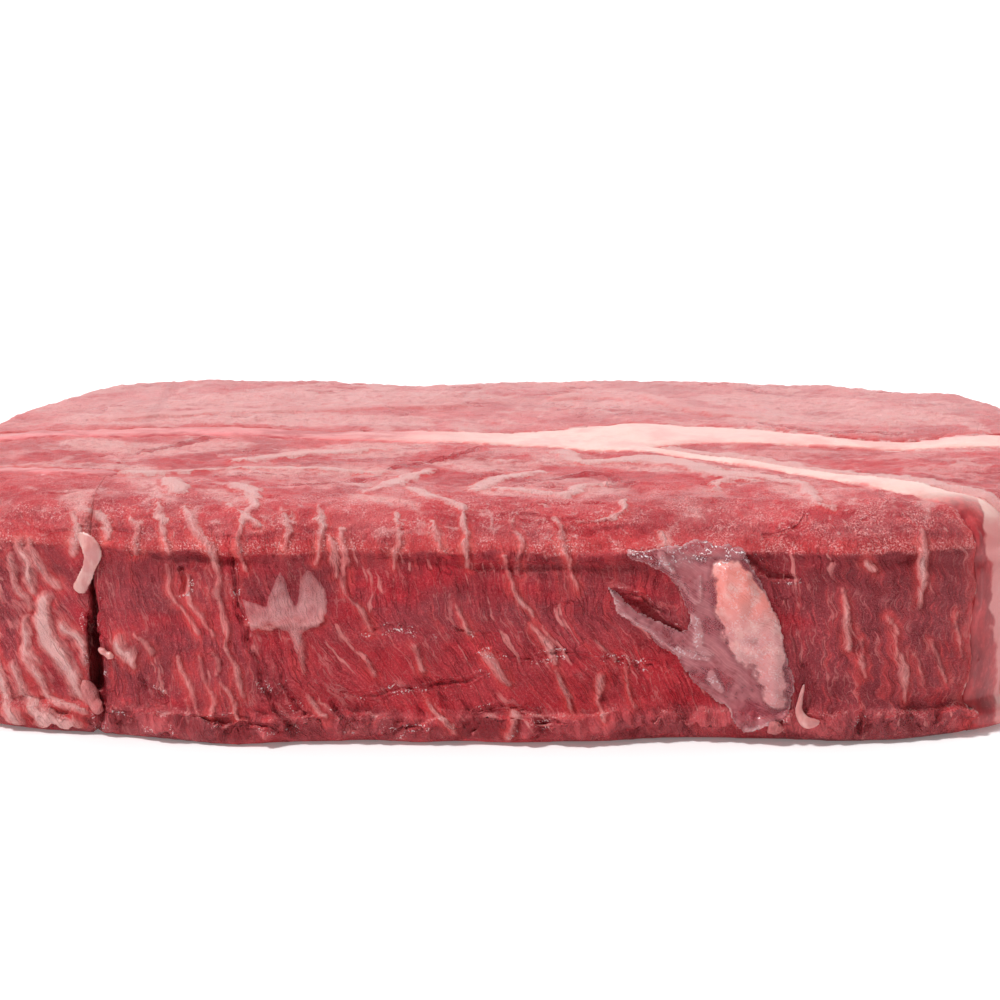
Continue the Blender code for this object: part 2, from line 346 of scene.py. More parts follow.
def store(mesh, **numbers):
    """Keeps one number for each point of a mesh, under each name."""
    for name, values in numbers.items():
        layer = mesh.attributes.new(name, "FLOAT", "POINT")
        layer.data.foreach_set("value", np.asarray(values, np.float32))


print("mesh helpers ready")

# %% A fine copy of a solid
VOXEL = 0.93 * MM
FINE_BAND = 0.017  # how far behind the front the finer grid reaches
FINE_FLOOR = 1.5 * MM  # the underside stays coarse
UNSEEN_KEPT = 0.06  # the share of the unseen faces that stays
FILLER_GROWTH = 0.35 * MM


def soften_lip(obj):
    """Melts the brow and the lip towards the right corner, and elsewhere here and there the lip."""
    places = rows_of(obj.data.vertices)
    across, back, up = places.T
    melt = np.clip((across - 0.07) / 0.022, 0.0, 1.0) * (back < -0.055)
    coming = np.clip(wander(places[:, :2], 0.021, 7.0) * 5.0 + 0.3, 0.0, 1.0)
    band = np.clip((up - 2.0 * MM) / (3.0 * MM), 0.0, 1.0) * (up < 14 * MM)
    melt = np.maximum(melt, coming * band * (across > -0.088)) * (up > FINE_FLOOR)
    if melt.any():
        weigh(obj, "melting", melt)
        smooth = obj.modifiers.new("melt", "SMOOTH")
        smooth.iterations = 30
        smooth.vertex_group = "melting"
        settled(obj)


def thin_unseen(obj):
    """Collapses most faces of the underside and of the wall between muscle and seam."""
    _, back, up = rows_of(obj.data.vertices).T
    _, turned_back, turned_up = rows_of(obj.data.vertex_normals, "vector").T
    unseen = (turned_back > 0.5) & (up < 44 * MM) & (back > -0.06) | (turned_up < -0.98)
    weigh(obj, "unseen", unseen)
    count = sum(all(unseen[i] for i in face.vertices) for face in obj.data.polygons)
    thin = obj.modifiers.new("thin out", "DECIMATE")
    thin.ratio = 1.0 - (1.0 - UNSEEN_KEPT) * count / len(obj.data.polygons)
    thin.vertex_group = "unseen"
    settled(obj)


def split_front(obj):
    """Cuts each square near the front side into four."""
    body = bmesh.new()
    body.from_mesh(obj.data)
    edge = FRONT + FINE_BAND
    edges = [
        e for e in body.edges
        if all(v.co.y < edge and v.co.z > FINE_FLOOR for v in e.verts)
    ]
    bmesh.ops.subdivide_edges(body, edges=edges, cuts=1, use_grid_fill=True)
    body.to_mesh(obj.data)
    body.free()


def fine_copy(node, filler=None):
    """A finely meshed copy of a solid. The filler is a second solid that closes a hollow in it."""
    body = bmesh.new()
    if filler:
        body.from_mesh(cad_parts[filler].data)
        bmesh.ops.remove_doubles(body, verts=body.verts, dist=1e-6)
        body.normal_update()
        for vert in body.verts:
            vert.co += vert.normal * FILLER_GROWTH
    body.from_mesh(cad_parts[node].data)
    bmesh.ops.remove_doubles(body, verts=body.verts, dist=1e-6)
    name = "fine_" + node
    obj = regrid(loose_object(name, mesh_from(body, name)), VOXEL)
    soften_lip(obj)
    if filler:
        thin_unseen(obj)
    split_front(obj)
    return obj


print("grid of", round(VOXEL / MM, 2), "mm")

# %% [markdown]
# ## Marks given one by one
#
# Most of the marbling can come from a rule, but the eye remembers a cut of
# meat by its few large marks. Those are drawn here like strokes of a brush. A
# stroke is a short list of stops: how far right of the middle, how far up the
# side, and half its width, all in millimetres. Past the upper edge the second
# number simply goes on over the top face, as if the skin of the slab were
# rolled out flat. For each point of a mesh we store how deep inside the
# nearest stroke it lies, and the materials turn that depth into a crisp edge.

# %% Strokes
FACE_Y = -83.0  # where the front side stands, in millimetres
WIDER_ON_TOP = 0.9  # on top the sheets of fat are cut at a slant, so they come out wider


def smooth_line(stops, steps=5):
    """A smooth run of points through a few stops."""
    stops = np.array(stops, float)
    line = [2 * stops[0] - stops[1], *stops, 2 * stops[-1] - stops[-2]]
    out = []
    for a, b, c, d in zip(line, line[1:], line[2:], line[3:]):
        for step in range(steps):
            t = step / steps
            out.append(
                0.5 * (2 * b + (c - a) * t + (2 * a - 5 * b + 4 * c - d) * t * t
                       + (3 * b - a - 3 * c + d) * t * t * t)
            )
    out.append(stops[-1])
    return np.array(out)


def rolled_out(places):
    """Across and along the skin, in millimetres, and whether the skin is in front or on top."""
    x, y, z = (places / MM).T
    drawn = ((y < -64.0) & (z > 1.0)) | (z > 46.0)
    return np.stack([x, z + y - FACE_Y], axis=1), drawn


def shaken(flat, amount, size):
    """The same places, each moved a little, so that no stroke has a clean edge."""
    return flat + np.stack([wander(flat, size, 3.5), wander(flat, size, 41.5)], axis=1) * amount


def depth_inside(places, strokes):
    """Millimetres inside the nearest stroke, less than zero outside."""
    flat, drawn = rolled_out(places)
    flat[drawn] = shaken(shaken(flat[drawn], 1.3, 5.0), 0.35, 1.5)
    depth = np.full(len(flat), -5.0)
    for stops in strokes:
        line = smooth_line(stops)
        line[:, 2] *= 1.0 + np.clip((line[:, 1] - 62.0) / 10.0, 0.0, 1.0) * WIDER_ON_TOP
        reach = 5.0 + line[:, 2].max()
        low = line[:, :2].min(axis=0) - reach
        high = line[:, :2].max(axis=0) + reach
        near = np.nonzero(drawn & (flat > low).all(axis=1) & (flat < high).all(axis=1))[0]
        spots = flat[near]
        best = depth[near]
        for start, end in zip(line, line[1:]):
            way = end[:2] - start[:2]
            share = np.clip((spots - start[:2]) @ way / max(way @ way, 1e-9), 0.0, 1.0)
            gap = np.linalg.norm(spots - start[:2] - share[:, None] * way, axis=1)
            best = np.maximum(best, start[2] + (end[2] - start[2]) * share - gap)
        depth[near] = best
    return depth


print("front side at", FACE_Y, "mm")

# %% [markdown]
# Fat first: the slanted bands of the small end muscle, the thin wavy lines of
# the front, then what lies on top. Soft pale patches, cracks and folds follow,
# and last the outline of a small patch of thin film that clings to the front.

# %% The strokes of fat, the cracks and the film
FAT_STROKES = [
    # the end muscle
    [(-95.7, 38.5, 1.5), (-96.3, 33, 2), (-94.5, 29, 1.8), (-92, 24.5, 1.3), (-89.5, 20, 0.9),
     (-87, 16, 0.5)],
    [(-92, 33, 0.8), (-89, 29, 1), (-88.5, 25, 0.5)],
    [(-103.6, 27, 0.7), (-100, 17, 1), (-97, 13, 1.7), (-93.2, 9.8, 2.7), (-91, 6, 3.1), (-90.2, 2, 2.8)],
    [(-101.2, 30, 0.5), (-98.7, 24, 0.6), (-96.3, 19.4, 0.7), (-91.4, 15.5, 0.9), (-87.8, 13, 0.4)],
    [(-103, 50, 0.5), (-102, 44, 0.6), (-99, 38, 0.3)],
    [(-100, 36, 0.5), (-101, 30, 0.8), (-98, 26, 0.4)],
    [(-99, 52, 0.4), (-97, 46, 0.5), (-93, 41, 0.3)],
    [(-111, 40, 0.8), (-108, 28, 1.3), (-104, 16, 1), (-100, 5, 1.4)],
    [(-118, 36, 0.7), (-114, 22, 1.2), (-110, 9, 0.8)],
    # the front, left to right
    [(-81, 27, 1.1), (-78, 24, 1.4), (-76, 21, 0.5)],
    [(-77, 28, 0.4), (-73, 24, 0.5)],
    [(-69, 42, 0.3), (-68, 36, 0.25), (-66, 32, 0.3), (-63, 26, 0.3)],
    [(-68, 22, 0.3), (-67, 17, 0.35), (-64, 11, 0.3), (-62, 7, 0.3)],
    [(-65, 39, 0.4), (-64, 34, 0.35), (-63, 31, 0.3), (-60, 25, 0.35)],
    [(-66, 60, 0.5), (-63, 50, 0.9), (-60, 42, 0.8), (-59, 38, 0.45), (-59, 34, 0.5),
     (-57, 28, 0.4), (-57, 21, 0.4), (-55, 17, 0.5), (-54, 12, 0.3)],
    [(-63, 21, 0.3), (-62, 15, 0.3), (-60, 11, 0.25), (-60, 7, 0.25)],
    [(-60, 21, 0.3), (-59, 17, 0.3)],
    [(-58, 15, 0.3), (-56, 10, 0.4), (-55, 6, 0.35)],
    [(-58, 79, 0.7), (-53, 72, 1.1), (-52, 58, 0.8), (-54, 48, 0.5), (-52, 39, 0.3)],
    [(-42, 25, 0.9), (-41, 21, 0.6), (-40, 17, 0.3)],
    [(-40, 12, 0.5), (-37, 7, 0.6)],
    [(-33, 50, 0.4), (-32, 42, 0.5), (-32, 35, 0.25), (-29, 30, 0.35), (-27, 27, 0.2)],
    [(-28, 20, 0.25), (-27, 17, 0.25)],
    [(-18, 23, 0.45), (-16, 18, 0.35)],
    [(-9, 31, 0.4), (-6, 26, 0.6)],
    [(-3, 21, 0.4), (-1, 18, 0.9), (2, 15, 0.3)],
    [(1, 42, 0.5), (2, 38, 0.4), (4, 33, 0.7), (7, 29, 0.4)],
    [(6, 27, 0.4), (10, 23, 0.9), (11, 19, 0.5)],
    [(11, 17, 0.4), (14, 13, 0.5), (15, 8, 0.3)],
    [(19, 24, 0.35), (23, 20, 0.3)],
    [(21, 16, 0.6), (21, 11, 0.4), (22, 6, 0.6)],
    [(-15, 11, 0.4), (-12, 6, 0.6), (-10, 2, 0.4)],
    [(26, 20, 0.25), (28, 11, 0.25)],
    [(3, 8, 0.9), (4, 5, 0.5), (2, 1, 0.4)],
    # over the bevel
    [(-101, 53, 0.5), (-99.5, 47, 0.8), (-98, 41, 0.5)],
    [(-90, 60, 0.7), (-88.5, 54, 1), (-89, 48, 0.5)],
    [(-86, 61, 0.8), (-82, 55, 1.1), (-82, 50, 0.6)],
    [(-57, 62, 0.5), (-52.5, 54, 0.9), (-50, 49, 0.6)],
    [(-35, 48, 0.4), (-33.5, 42, 0.7), (-33.5, 38, 0.3)],
    [(-78, 60, 0.5), (-76, 52, 0.6), (-75, 45, 0.3)],
    [(-72, 64, 0.6), (-70, 54, 0.7), (-69, 45, 0.4)],
    [(-45, 57, 0.4), (-44, 48, 0.5), (-44, 43, 0.2)],
    [(-38, 60, 0.5), (-37, 50, 0.6), (-38, 42, 0.3)],
    [(-22, 56, 0.5), (-21, 47, 0.5), (-22, 40, 0.3)],
    [(-14, 53, 0.5), (-12, 44, 0.3)],
    [(3, 55, 0.3), (4, 46, 0.4), (4, 39, 0.3)],
    [(12, 54, 0.4), (13, 46, 0.5), (15, 39, 0.4), (16, 35, 0.2)],
    [(33, 51, 0.4), (34, 45, 0.4)],
    # right of the silver skin
    [(87, 50, 0.5), (88, 41, 1.2), (87, 33, 0.5)],
    [(76, 40, 1), (77, 39, 1)],
    [(71.5, 35, 0.4), (72.5, 30, 0.8), (71.8, 26, 0.6), (72.6, 22.5, 0.8)],
    [(75, 25, 0.3), (75.8, 22.5, 0.3), (75.6, 20, 0.3), (76.4, 17.5, 0.2)],
    [(81, 30, 0.15), (82.6, 27.5, 0.3), (82.2, 25, 0.2), (83.2, 21, 0.2)],
    [(84, 22, 0.4), (84.6, 18.5, 0.9), (84.6, 14, 0.3)],
    [(85.6, 24.5, 0.15), (87.6, 21.5, 0.3), (88, 19.5, 0.2), (89, 17.5, 0.2)],
    [(90.6, 26, 0.2), (91.8, 23, 0.45), (93.2, 20, 0.3)],
    [(96, 34, 0.2), (96, 30, 0.2), (98, 25, 0.2)],
    # on top
    [(-71, 83, 1), (-69, 72, 1.1)],
    [(-84, 92, 1), (-78, 91, 1.2), (-64, 96, 0.5), (-52, 98, 0.9), (-37, 98, 1), (-26, 94, 0.5)],
    [(-28, 72, 0.5), (-22, 84, 1.1), (-16, 96, 1.1)],
    [(-19, 75, 0.8), (-15, 68, 1.2), (-8, 61, 1.1), (-8, 53, 0.8), (-7, 47, 0.8), (-7, 41, 0.6)],
    [(-5, 75, 1.1), (0, 86, 1.4), (9, 94, 0.8)],
    [(0, 75, 0.7), (7, 70, 0.6), (14, 68, 0.9), (17, 77, 0.6), (22, 79, 0.5)],
    [(27, 65, 0.7), (24, 56, 0.9), (17, 53, 0.6)],
    [(15, 118, 1.3), (18, 107, 1.2), (33, 108, 1.9), (39, 103, 2), (50, 91, 1.7), (62, 83, 1.1),
     (66, 75, 0.9), (66, 62, 0.8), (70, 59, 0.7)],
    [(46, 75, 0.5), (50, 86, 0.8), (55, 83, 0.6)],
    [(13, 184, 0.6), (20, 189, 1.4), (29, 186, 0.8), (33, 180, 0.3)],
    [(-52.6, 26.9, 0.3), (-49, 26.6, 0.5), (-45, 27.2, 0.6), (-41, 27.2, 0.6), (-37.4, 28.8, 0.4)],
    [(-42.2, 27, 0.5), (-41.8, 23, 0.4), (-41, 20, 0.2)],
    [(37, 187, 1.2), (49, 168, 1.4), (62, 160, 1.2)],
    [(-95, 158, 1), (-70, 165, 1.6), (-40, 171, 1.2), (-10, 176, 0.9)],
    [(-60, 108, 0.8), (-45, 116, 1.4), (-28, 121, 0.8)],
]

# Soft pale patches, with no edge to them.
PATCH_STROKES = [
    [(-120, 98, 3), (-100, 99, 4), (-84, 94, 4), (-76, 90, 2)],
    [(-62, 92, 1.5), (-40, 97, 3), (-22, 93, 2)],
    [(-44, 119, 3), (-30, 121, 5), (-18, 119, 2)],
    [(-98, 130, 3), (-75, 124, 4), (-60, 127, 2)],
    [(-14, 104, 2), (-4, 100, 4), (8, 104, 2)],
    [(-5, 76, 2), (5, 70, 2.5), (16, 69, 2.5), (24, 78, 2)],
    [(12, 108, 3), (30, 102, 3), (45, 99, 4), (58, 88, 3)],
    [(60, 76, 2), (68, 64, 3)],
    [(-75, 78, 2), (-70, 65, 2)],
    [(-62, 74, 2), (-55, 64, 3)],
    [(-92, 72, 2), (-88, 62, 2.5), (-86, 54, 1)],
    [(-30, 68, 1.5), (-20, 62, 2.5), (-16, 56, 1)],
    [(78, 86, 3), (96, 76, 3)],
    [(-80, 176, 4), (-50, 184, 7), (-20, 186, 6)],
    [(60, 184, 6), (84, 178, 5)],
    [(-100, 158, 4), (-60, 160, 5), (-20, 158, 3)],
    [(16, 187, 3), (26, 191, 4), (36, 187, 3), (36, 180, 2), (24, 177, 2.5), (14, 180, 2.5)],
    [(60, 156, 3), (90, 160, 5), (112, 154, 3)],
]

CRACK_STROKES = [
    # the parting beside the end muscle
    [(-85, 40, 0.5), (-86, 34, 0.9), (-86, 27, 1.1), (-85, 18, 1), (-85, 9, 0.5)],
    # down the front
    [(-55, 42, 0.3), (-55, 34, 0), (-52, 24, 0), (-50, 17, 0), (-48, 11, 0.2), (-45, 6, 0.3)],
    [(-66, 41, 0.3), (-65, 36, 0.2)],
    [(-83, 14, 0.2), (-80, 8, 0.2)],
    [(-75, 18, 0), (-71, 13, 0)],
    [(-44, 6, 0.3), (-43, 1, 0.5)],
    [(-35, 11, 0.1), (-32, 4, 0.2), (-33, 1, 0.3)],
    [(58, 8, 0.2), (60, 1, 0.9)],
    [(75, 8, 0.1), (75, 1, 0.5)],
    # above the foot
    [(-82, 7, 0.2), (-76, 5, 0.7), (-70, 6, 0.2)],
    [(-64, 7, 0.4), (-61, 5, 1.1), (-56, 6, 0.9), (-52, 6, 0.1)],
    [(-52, 4, 0.3), (-48, 3, 0.3)],
    [(-25, 3, 0.1), (-16, 4, 0.1)],
    [(4, 1, 0.7), (8, 2, 0.4)],
    [(8, 5, 0.1), (13, 5, 0.1)],
    # level ones
    [(-33, 13, -0.2), (-26, 13, 0), (-18, 14, -0.2), (-14, 14, 0), (-8, 15, 0), (-3, 16, -0.2)],
    [(-3, 21, -0.1), (5, 20, 0), (13, 21, 0), (19, 20, -0.2), (24, 20, -0.1), (32, 20, 0)],
    [(-9, 26, -0.1), (-5, 26, -0.1), (0, 25, -0.3)],
    [(9, 30, -0.3), (14, 32, -0.2), (17, 32, -0.3)],
    [(-28, 27, -0.2), (-22, 27, -0.1), (-14, 25, -0.3)],
    [(-6, 9, -0.2), (0, 10, 0), (8, 9, -0.2)],
    [(-48, 20, -0.2), (-44, 13, 0), (-41, 8, 0)],
    # under the brow, and beside the silver skin
    [(50.5, 41.5, 1.2), (54.5, 39.6, 1.1), (58, 38, 0.8), (61.5, 37, 0.2)],
    [(23.5, 34, 0.3), (27, 31.2, 1), (30.5, 29.8, 1.5), (33.5, 28, 1.3), (37, 26, 0.8)],
    [(24, 34, 0.1), (28, 33.4, 0.3), (32, 31.4, 0.4), (35, 30.2, 0.1)],
    [(38.6, 19, 0.4), (41.5, 18.2, 0.5)],
    # folds on top
    [(6, 83, 0.2), (17, 91, 0.5), (24, 91, 0.4), (25, 78, 0.5), (30, 83, 0.2)],
    [(-24, 98, 0.3), (-13, 109, 0.6), (-4, 122, 0.3)],
    [(-45, 79, 0.1), (-32, 86, 0.5), (-26, 91, 0.1)],
    [(-109, 141, 0.4), (-95, 140, 0.9)],
    [(63, 153, 0.5), (72, 144, 0.7), (95, 141, 0.5)],
    [(-83, 118, 0.3), (-71, 134, 0.7), (-63, 134, 0.2)],
    [(55, 49, -0.2), (59, 50.5, 0), (62, 53, 0), (64, 57, -0.2)],
]

FILM_EDGE = [
    (-53.6, 32.1), (-50.6, 30.9), (-48.4, 30.2), (-47.5, 33.4), (-46.3, 36.9), (-45.4, 38.8),
    (-44.5, 36), (-43.5, 32.8), (-42.2, 30.2), (-41.4, 32.8), (-41.1, 37.2), (-39.9, 39.8),
    (-38.1, 37.6), (-36.6, 35.3), (-35.7, 32.8), (-36.3, 30.2), (-37.8, 27.7), (-40.8, 26.4),
    (-41.7, 23.2), (-42, 20.6), (-43, 23.2), (-44.2, 25.4), (-47.5, 26.7), (-49.7, 26.4),
    (-51.8, 25.1), (-52.4, 27.7),
]


def depth_in_outline(spots, outline):
    """Millimetres inside a closed outline, less than zero outside."""
    gap = np.full(len(spots), 1e9)
    inside = np.zeros(len(spots), bool)
    across, up = spots.T
    for start, end in zip(outline, outline[1:] + outline[:1]):
        start, end = np.array(start), np.array(end)
        way = end - start
        share = np.clip((spots - start) @ way / (way @ way), 0.0, 1.0)
        gap = np.minimum(gap, np.linalg.norm(spots - start - share[:, None] * way, axis=1))
        crossed = (start[1] > up) != (end[1] > up)
        rise = way[1] if way[1] else 1e-9
        inside ^= crossed & (across < start[0] + (up - start[1]) * way[0] / rise)
    return np.where(inside, gap, -gap)


def torn(flat):
    """Places moved a little, for the torn edge of a thin sheet."""
    return shaken(shaken(flat, 0.5, 3.0), 0.25, 0.9)


def film_depth(places):
    """Depth inside the small patch of film, in front only."""
    flat, drawn = rolled_out(places)
    near = drawn & (np.abs(flat - (-44.0, 31.0)) < (12.0, 14.0)).all(axis=1)
    depth = np.full(len(places), -5.0)
    depth[near] = depth_in_outline(torn(flat[near]), FILM_EDGE)
    return depth


print(len(FAT_STROKES), "strokes of fat,", len(CRACK_STROKES), "cracks and folds")

# %% [markdown]
# ## The grain of the meat
#
# The fibres of this slab stand upright, from the top face to the board. On the
# sides they show as wavy upright bundles, and on the top face as their cut
# ends, a fine cobble. Both come from one solid pattern if the space it is read
# in is stretched along the fibres. The function below bends and leans that
# space a little; the relief and the colours use the same one, so that a bundle
# that stands proud is also the one that is tinted.

# %% The space that the fibres run in
FIBRE_LEAN = 0.18  # sideways drift of a fibre on its way down
EXTRA_LEAN = 0.45  # more of it in the lower middle of the front
FIBRE_SWAY = 7.0 * MM
FIBRE_RIPPLE = 2.6 * MM
CRIMP_LENGTH = 5.0 * MM
CRIMP_WIDTH = 0.5 * MM


def fibre_space(place):
    """The place with its fibres straightened, so that they run along Z."""
    across, _, height = place.parts()
    sway = (place.noise(32, 1.0, output="Color") - 0.5) * (FIBRE_SWAY, FIBRE_SWAY, 0.0)
    ripple = (place.noise(5, 2.0, output="Color") - 0.5) * (FIBRE_RIPPLE, FIBRE_RIPPLE, 0.0)
    middle = across.rise(-0.055, -0.025) * across.rise(0.06, 0.03)
    low = 28 * MM - height
    end = across.rise(-0.083, -0.087)
    drift = height * (FIBRE_LEAN + end * EXTRA_LEAN)
    drift = drift - low.atop(0.0) * middle * EXTRA_LEAN
    # Toward the right end the fibres are crimped like wet hair.
    phase = height * (math.tau / CRIMP_LENGTH) + across * 200.0 + place.noise(14) * 9.0
    crimp = phase.maths("SINE", phase) * across.rise(0.058, 0.072) * CRIMP_WIDTH
    lean = place.node("ShaderNodeCombineXYZ", None, {"X": drift + crimp})
    return place + sway + ripple + lean


print("fibres lean", FIBRE_LEAN, "and sway", FIBRE_SWAY / MM, "mm")

# %% [markdown]
# ## Relief by Geometry Nodes
#
# The surface follows rules, so a Geometry Nodes tree pushes it in and out along
# its normals. On the sides: upright bundles, long level furrows and a few
# cracks where the bundles have pulled apart. On top: the cobble of fibre ends
# and shallow folds. Round the foot: soft lobes. The tree also writes down how
# far each point was moved, because the material paints shade into clefts and
# light onto ridges, and makes clefts wetter, and how far off the nearest seam
# of fat is.

# %% Helpers for trees
MUSCLES = ["front_muscle", "end_muscle", "wedge_muscle", "rear_muscle"]
SEAMS = ["fat_seam", "end_fat_seam"]


def new_tree(name, sizes):
    """A Geometry Nodes tree: its named sizes, given in millimetres, and the place of a point."""
    tree = bpy.data.node_groups.new(name, "GeometryNodeTree")
    tree.interface.new_socket("Geometry", in_out="INPUT", socket_type="NodeSocketGeometry")
    for label, value in sizes.items():
        socket = tree.interface.new_socket(label, in_out="INPUT", socket_type="NodeSocketFloat")
        socket.default_value = value * MM
    tree.interface.new_socket("Geometry", in_out="OUTPUT", socket_type="NodeSocketGeometry")
    entry = tree.nodes.new("NodeGroupInput")
    place = Wire(tree).node("GeometryNodeInputPosition")
    return {s.name: Wire(tree, s) for s in entry.outputs if s.name}, place


def close_tree(geometry, offset, kept, material):
    """Moves the points, keeps some numbers of each, makes instances real and sets the material."""
    moved = geometry.node(
        "GeometryNodeSetPosition", None, {"Geometry": geometry, "Offset": offset}
    )
    for name, value in kept.items():
        moved = moved.node(
            "GeometryNodeStoreNamedAttribute",
            {"data_type": "FLOAT", "domain": "POINT"},
            {"Geometry": moved, "Name": name, "Value": value},
        )
    real = moved.node("GeometryNodeRealizeInstances", None, {"Geometry": moved})
    painted = real.node("GeometryNodeSetMaterial", None, {"Geometry": real, "Material": material})
    leave = geometry.tree.nodes.new("NodeGroupOutput")
    geometry.tree.links.new(painted.socket, leave.inputs[0])
    return geometry.tree


def kept_number(start, name):
    """Reads back a number stored for each point."""
    return start.node(
        "GeometryNodeInputNamedAttribute", {"data_type": "FLOAT"}, {"Name": name}, "Attribute"
    )


def gap_to(place, nodes):
    """Millimetres from each point to the nearest of some solids."""
    gap = None
    for node in nodes:
        solid = place.node(
            "GeometryNodeObjectInfo", None, {"Object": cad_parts[node]}, "Geometry"
        )
        away = place.node(
            "GeometryNodeProximity", None, {0: solid, "Sample Position": place}, "Distance"
        )
        gap = away if gap is None else gap.maths("MINIMUM", gap, away)
    return gap * (1.0 / MM)


def sides_and_top(normal):
    """How much each point faces sideways, and how much it faces up."""
    up = normal.part("Z")
    return 1.0 - abs(up).rise(0.45, 0.85), up.rise(0.35, 0.85)


def run_tree(obj, tree, sizes):
    """Puts a Geometry Nodes tree on a piece, sets its sizes and works it into the mesh."""
    modifier = obj.modifiers.new(tree.name, "NODES")
    modifier.node_group = tree
    for socket in tree.interface.items_tree:
        if socket.in_out == "INPUT" and socket.name in sizes:
            modifier[socket.identifier] = sizes[socket.name] * MM
    return settled(obj)


print("muscles", MUSCLES, "and seams", SEAMS)

# %% The relief of the muscles
RELIEF = {
    "Bundle Depth": 0.8,
    "Furrow Depth": 1.0,
    "Crack Depth": 0.9,
    "Grain Depth": 0.6,
    "Fold Depth": 1.4,
    "Lobe Depth": 8.0,
    "Swell Depth": 1.1,
    "Brow Depth": 0.45,
    "Stroke Height": 0.45,
    "Close Gap": 0.45,
    "Foot Lift": 4.0,
}


def cracks_in(place, height, side, top):
    """Level cracks on the sides and short folds on top, 0 to 1."""
    level = (place * (0.28, 0.28, 1.0)).noise(11, 3.0, 0.6) - 0.5
    where = place.noise(24, 1.0).rise(0.53, 0.64)
    crack = (1.0 - abs(level).rise(0.0, 0.022)) * where * side * 0.7
    crack = crack * place.part("Y").rise(-68 * MM, -60 * MM)
    crack = crack * height.rise(6 * MM, 12 * MM) * height.rise(41 * MM, 37 * MM)
    bend = (place * (0.45, 1.0, 1.0)).noise(13, 2.0) - 0.5
    fold = (1.0 - abs(bend).rise(0.0, 0.02)) * top * place.noise(30, 0.0).rise(0.54, 0.62)
    return crack.atop(fold)


def muscle_relief(material, muscle):
    """The tree that turns a smooth muscle into a fibrous one."""
    size, place = new_tree("relief_of_" + muscle, RELIEF)
    normal = place.node("GeometryNodeInputNormal")
    fibres = fibre_space(place)
    height = place.part("Z")
    side, top = sides_and_top(normal)
    strokes = kept_number(place, "fat_stroke")
    slits = kept_number(place, "crack_stroke")
    film = kept_number(place, "film_stroke")

    swell = place.noise(17, 1.0) - 0.5
    bundles = (fibres * (1.0, 1.0, 0.13)).noise(2.4, 3.0, 0.55) - 0.5
    furrows = (fibres * (0.2, 0.2, 1.0)).noise(6, 2.0) - 0.5
    ends = 0.45 - fibres.cells(2.3)
    folds = (place * (0.45, 1.0, 1.0)).noise(7, 3.0, 0.55) - 0.5
    foot = height.rise(9 * MM, 5 * MM) * side
    lobes = (place * (1.0, 1.0, 0.6)).noise(6.5, 3.0, 0.6) - 0.5
    crack = cracks_in(place, height, side, top).atop(
        (slits + (place.noise(1.8) - 0.5) * 1.2).rise(-0.4, 0.3)
    )
    # Under the brow the side steps in, and above it a thin rim hangs over.
    ragged = height + (place.noise(7, 3.0, 0.6) - 0.5) * (4.0 * MM)
    under = ragged.rise(41.8 * MM, 40.2 * MM) * ragged.rise(35 * MM, 40.0 * MM) * side
    under = under * place.part("X").rise(0.1, 0.086)
    rim = ragged.rise(45.5 * MM, 42.5 * MM) * ragged.rise(40.6 * MM, 41.4 * MM)

    move = swell * size["Swell Depth"]
    move = move + side * (bundles * size["Bundle Depth"] + furrows * size["Furrow Depth"])
    move = move + (1.0 - side) * (ends * size["Grain Depth"] + folds * size["Fold Depth"])
    move = move + foot * lobes * size["Lobe Depth"]
    stepped = (place * (1.0, 1.0, 0.2)).noise(22).rise(0.34, 0.66)
    move = move + under * (0.5 * MM - stepped * (0.5 * MM + size["Brow Depth"]))
    crease = height.rise(4.5 * MM, 6.5 * MM) * height.rise(10 * MM, 8 * MM) * side
    move = move + crease * (1.0 - stepped) * (0.6 * MM)
    raised = strokes.rise(-0.5, 0.6).atop(film.rise(-0.3, 0.3) * 0.7)
    move = move * (1.0 - raised * 0.6) + raised * size["Stroke Height"]
    move = move - crack * (1.0 - top * 0.65) * size["Crack Depth"]
    move = move * height.rise(0.0, 3.0 * MM)
    # Where two muscles touch, the crack between them is closed.
    others = [other for other in MUSCLES if other != muscle]
    touching = gap_to(place, others).rise(0.9, 0.5)
    move = move * (1.0 - touching) + touching * size["Close Gap"]
    # Here and there the lower edge doesn't quite reach the board.
    lift = place.noise(7, 3.0, 0.6).rise(0.44, 0.62) * height.rise(7 * MM, 1 * MM) * side
    lift = lift * size["Foot Lift"] * (1.0 - touching)
    upward = place.node("ShaderNodeCombineXYZ", None, {"Z": lift})
    kept = {
        "relief": move * (1.0 / MM),
        "top": top,
        "rim": rim,
        "foot": foot * (lobes + 0.5),
        "crack": crack,
        "under": under * stepped,
        "to_fat": gap_to(place, SEAMS),
    }
    return close_tree(size["Geometry"], normal * move + upward, kept, material)


print("relief sizes in millimetres", RELIEF)

# %% The relief of the seams
SEAM_RELIEF = {"Lump Depth": 0.7, "Spread": 0.9, "Rise": 0.15}


def seam_relief(material):
    """Fat stands a little proud, and spreads over the edge of the muscle beside it."""
    size, place = new_tree("seam_relief", SEAM_RELIEF)
    normal = place.node("GeometryNodeInputNormal")
    side, top = sides_and_top(normal)
    to_lean = gap_to(place, MUSCLES)
    lumps = place.noise(8) - 0.5
    move = lumps * size["Lump Depth"] + size["Rise"]
    move = move + side * to_lean.rise(1.2, 0.5) * size["Spread"]
    move = move * place.part("Z").rise(0.0, 3.0 * MM)
    kept = {"to_lean": to_lean, "top": top}
    return close_tree(size["Geometry"], normal * move, kept, material)


print("seam sizes in millimetres", SEAM_RELIEF)
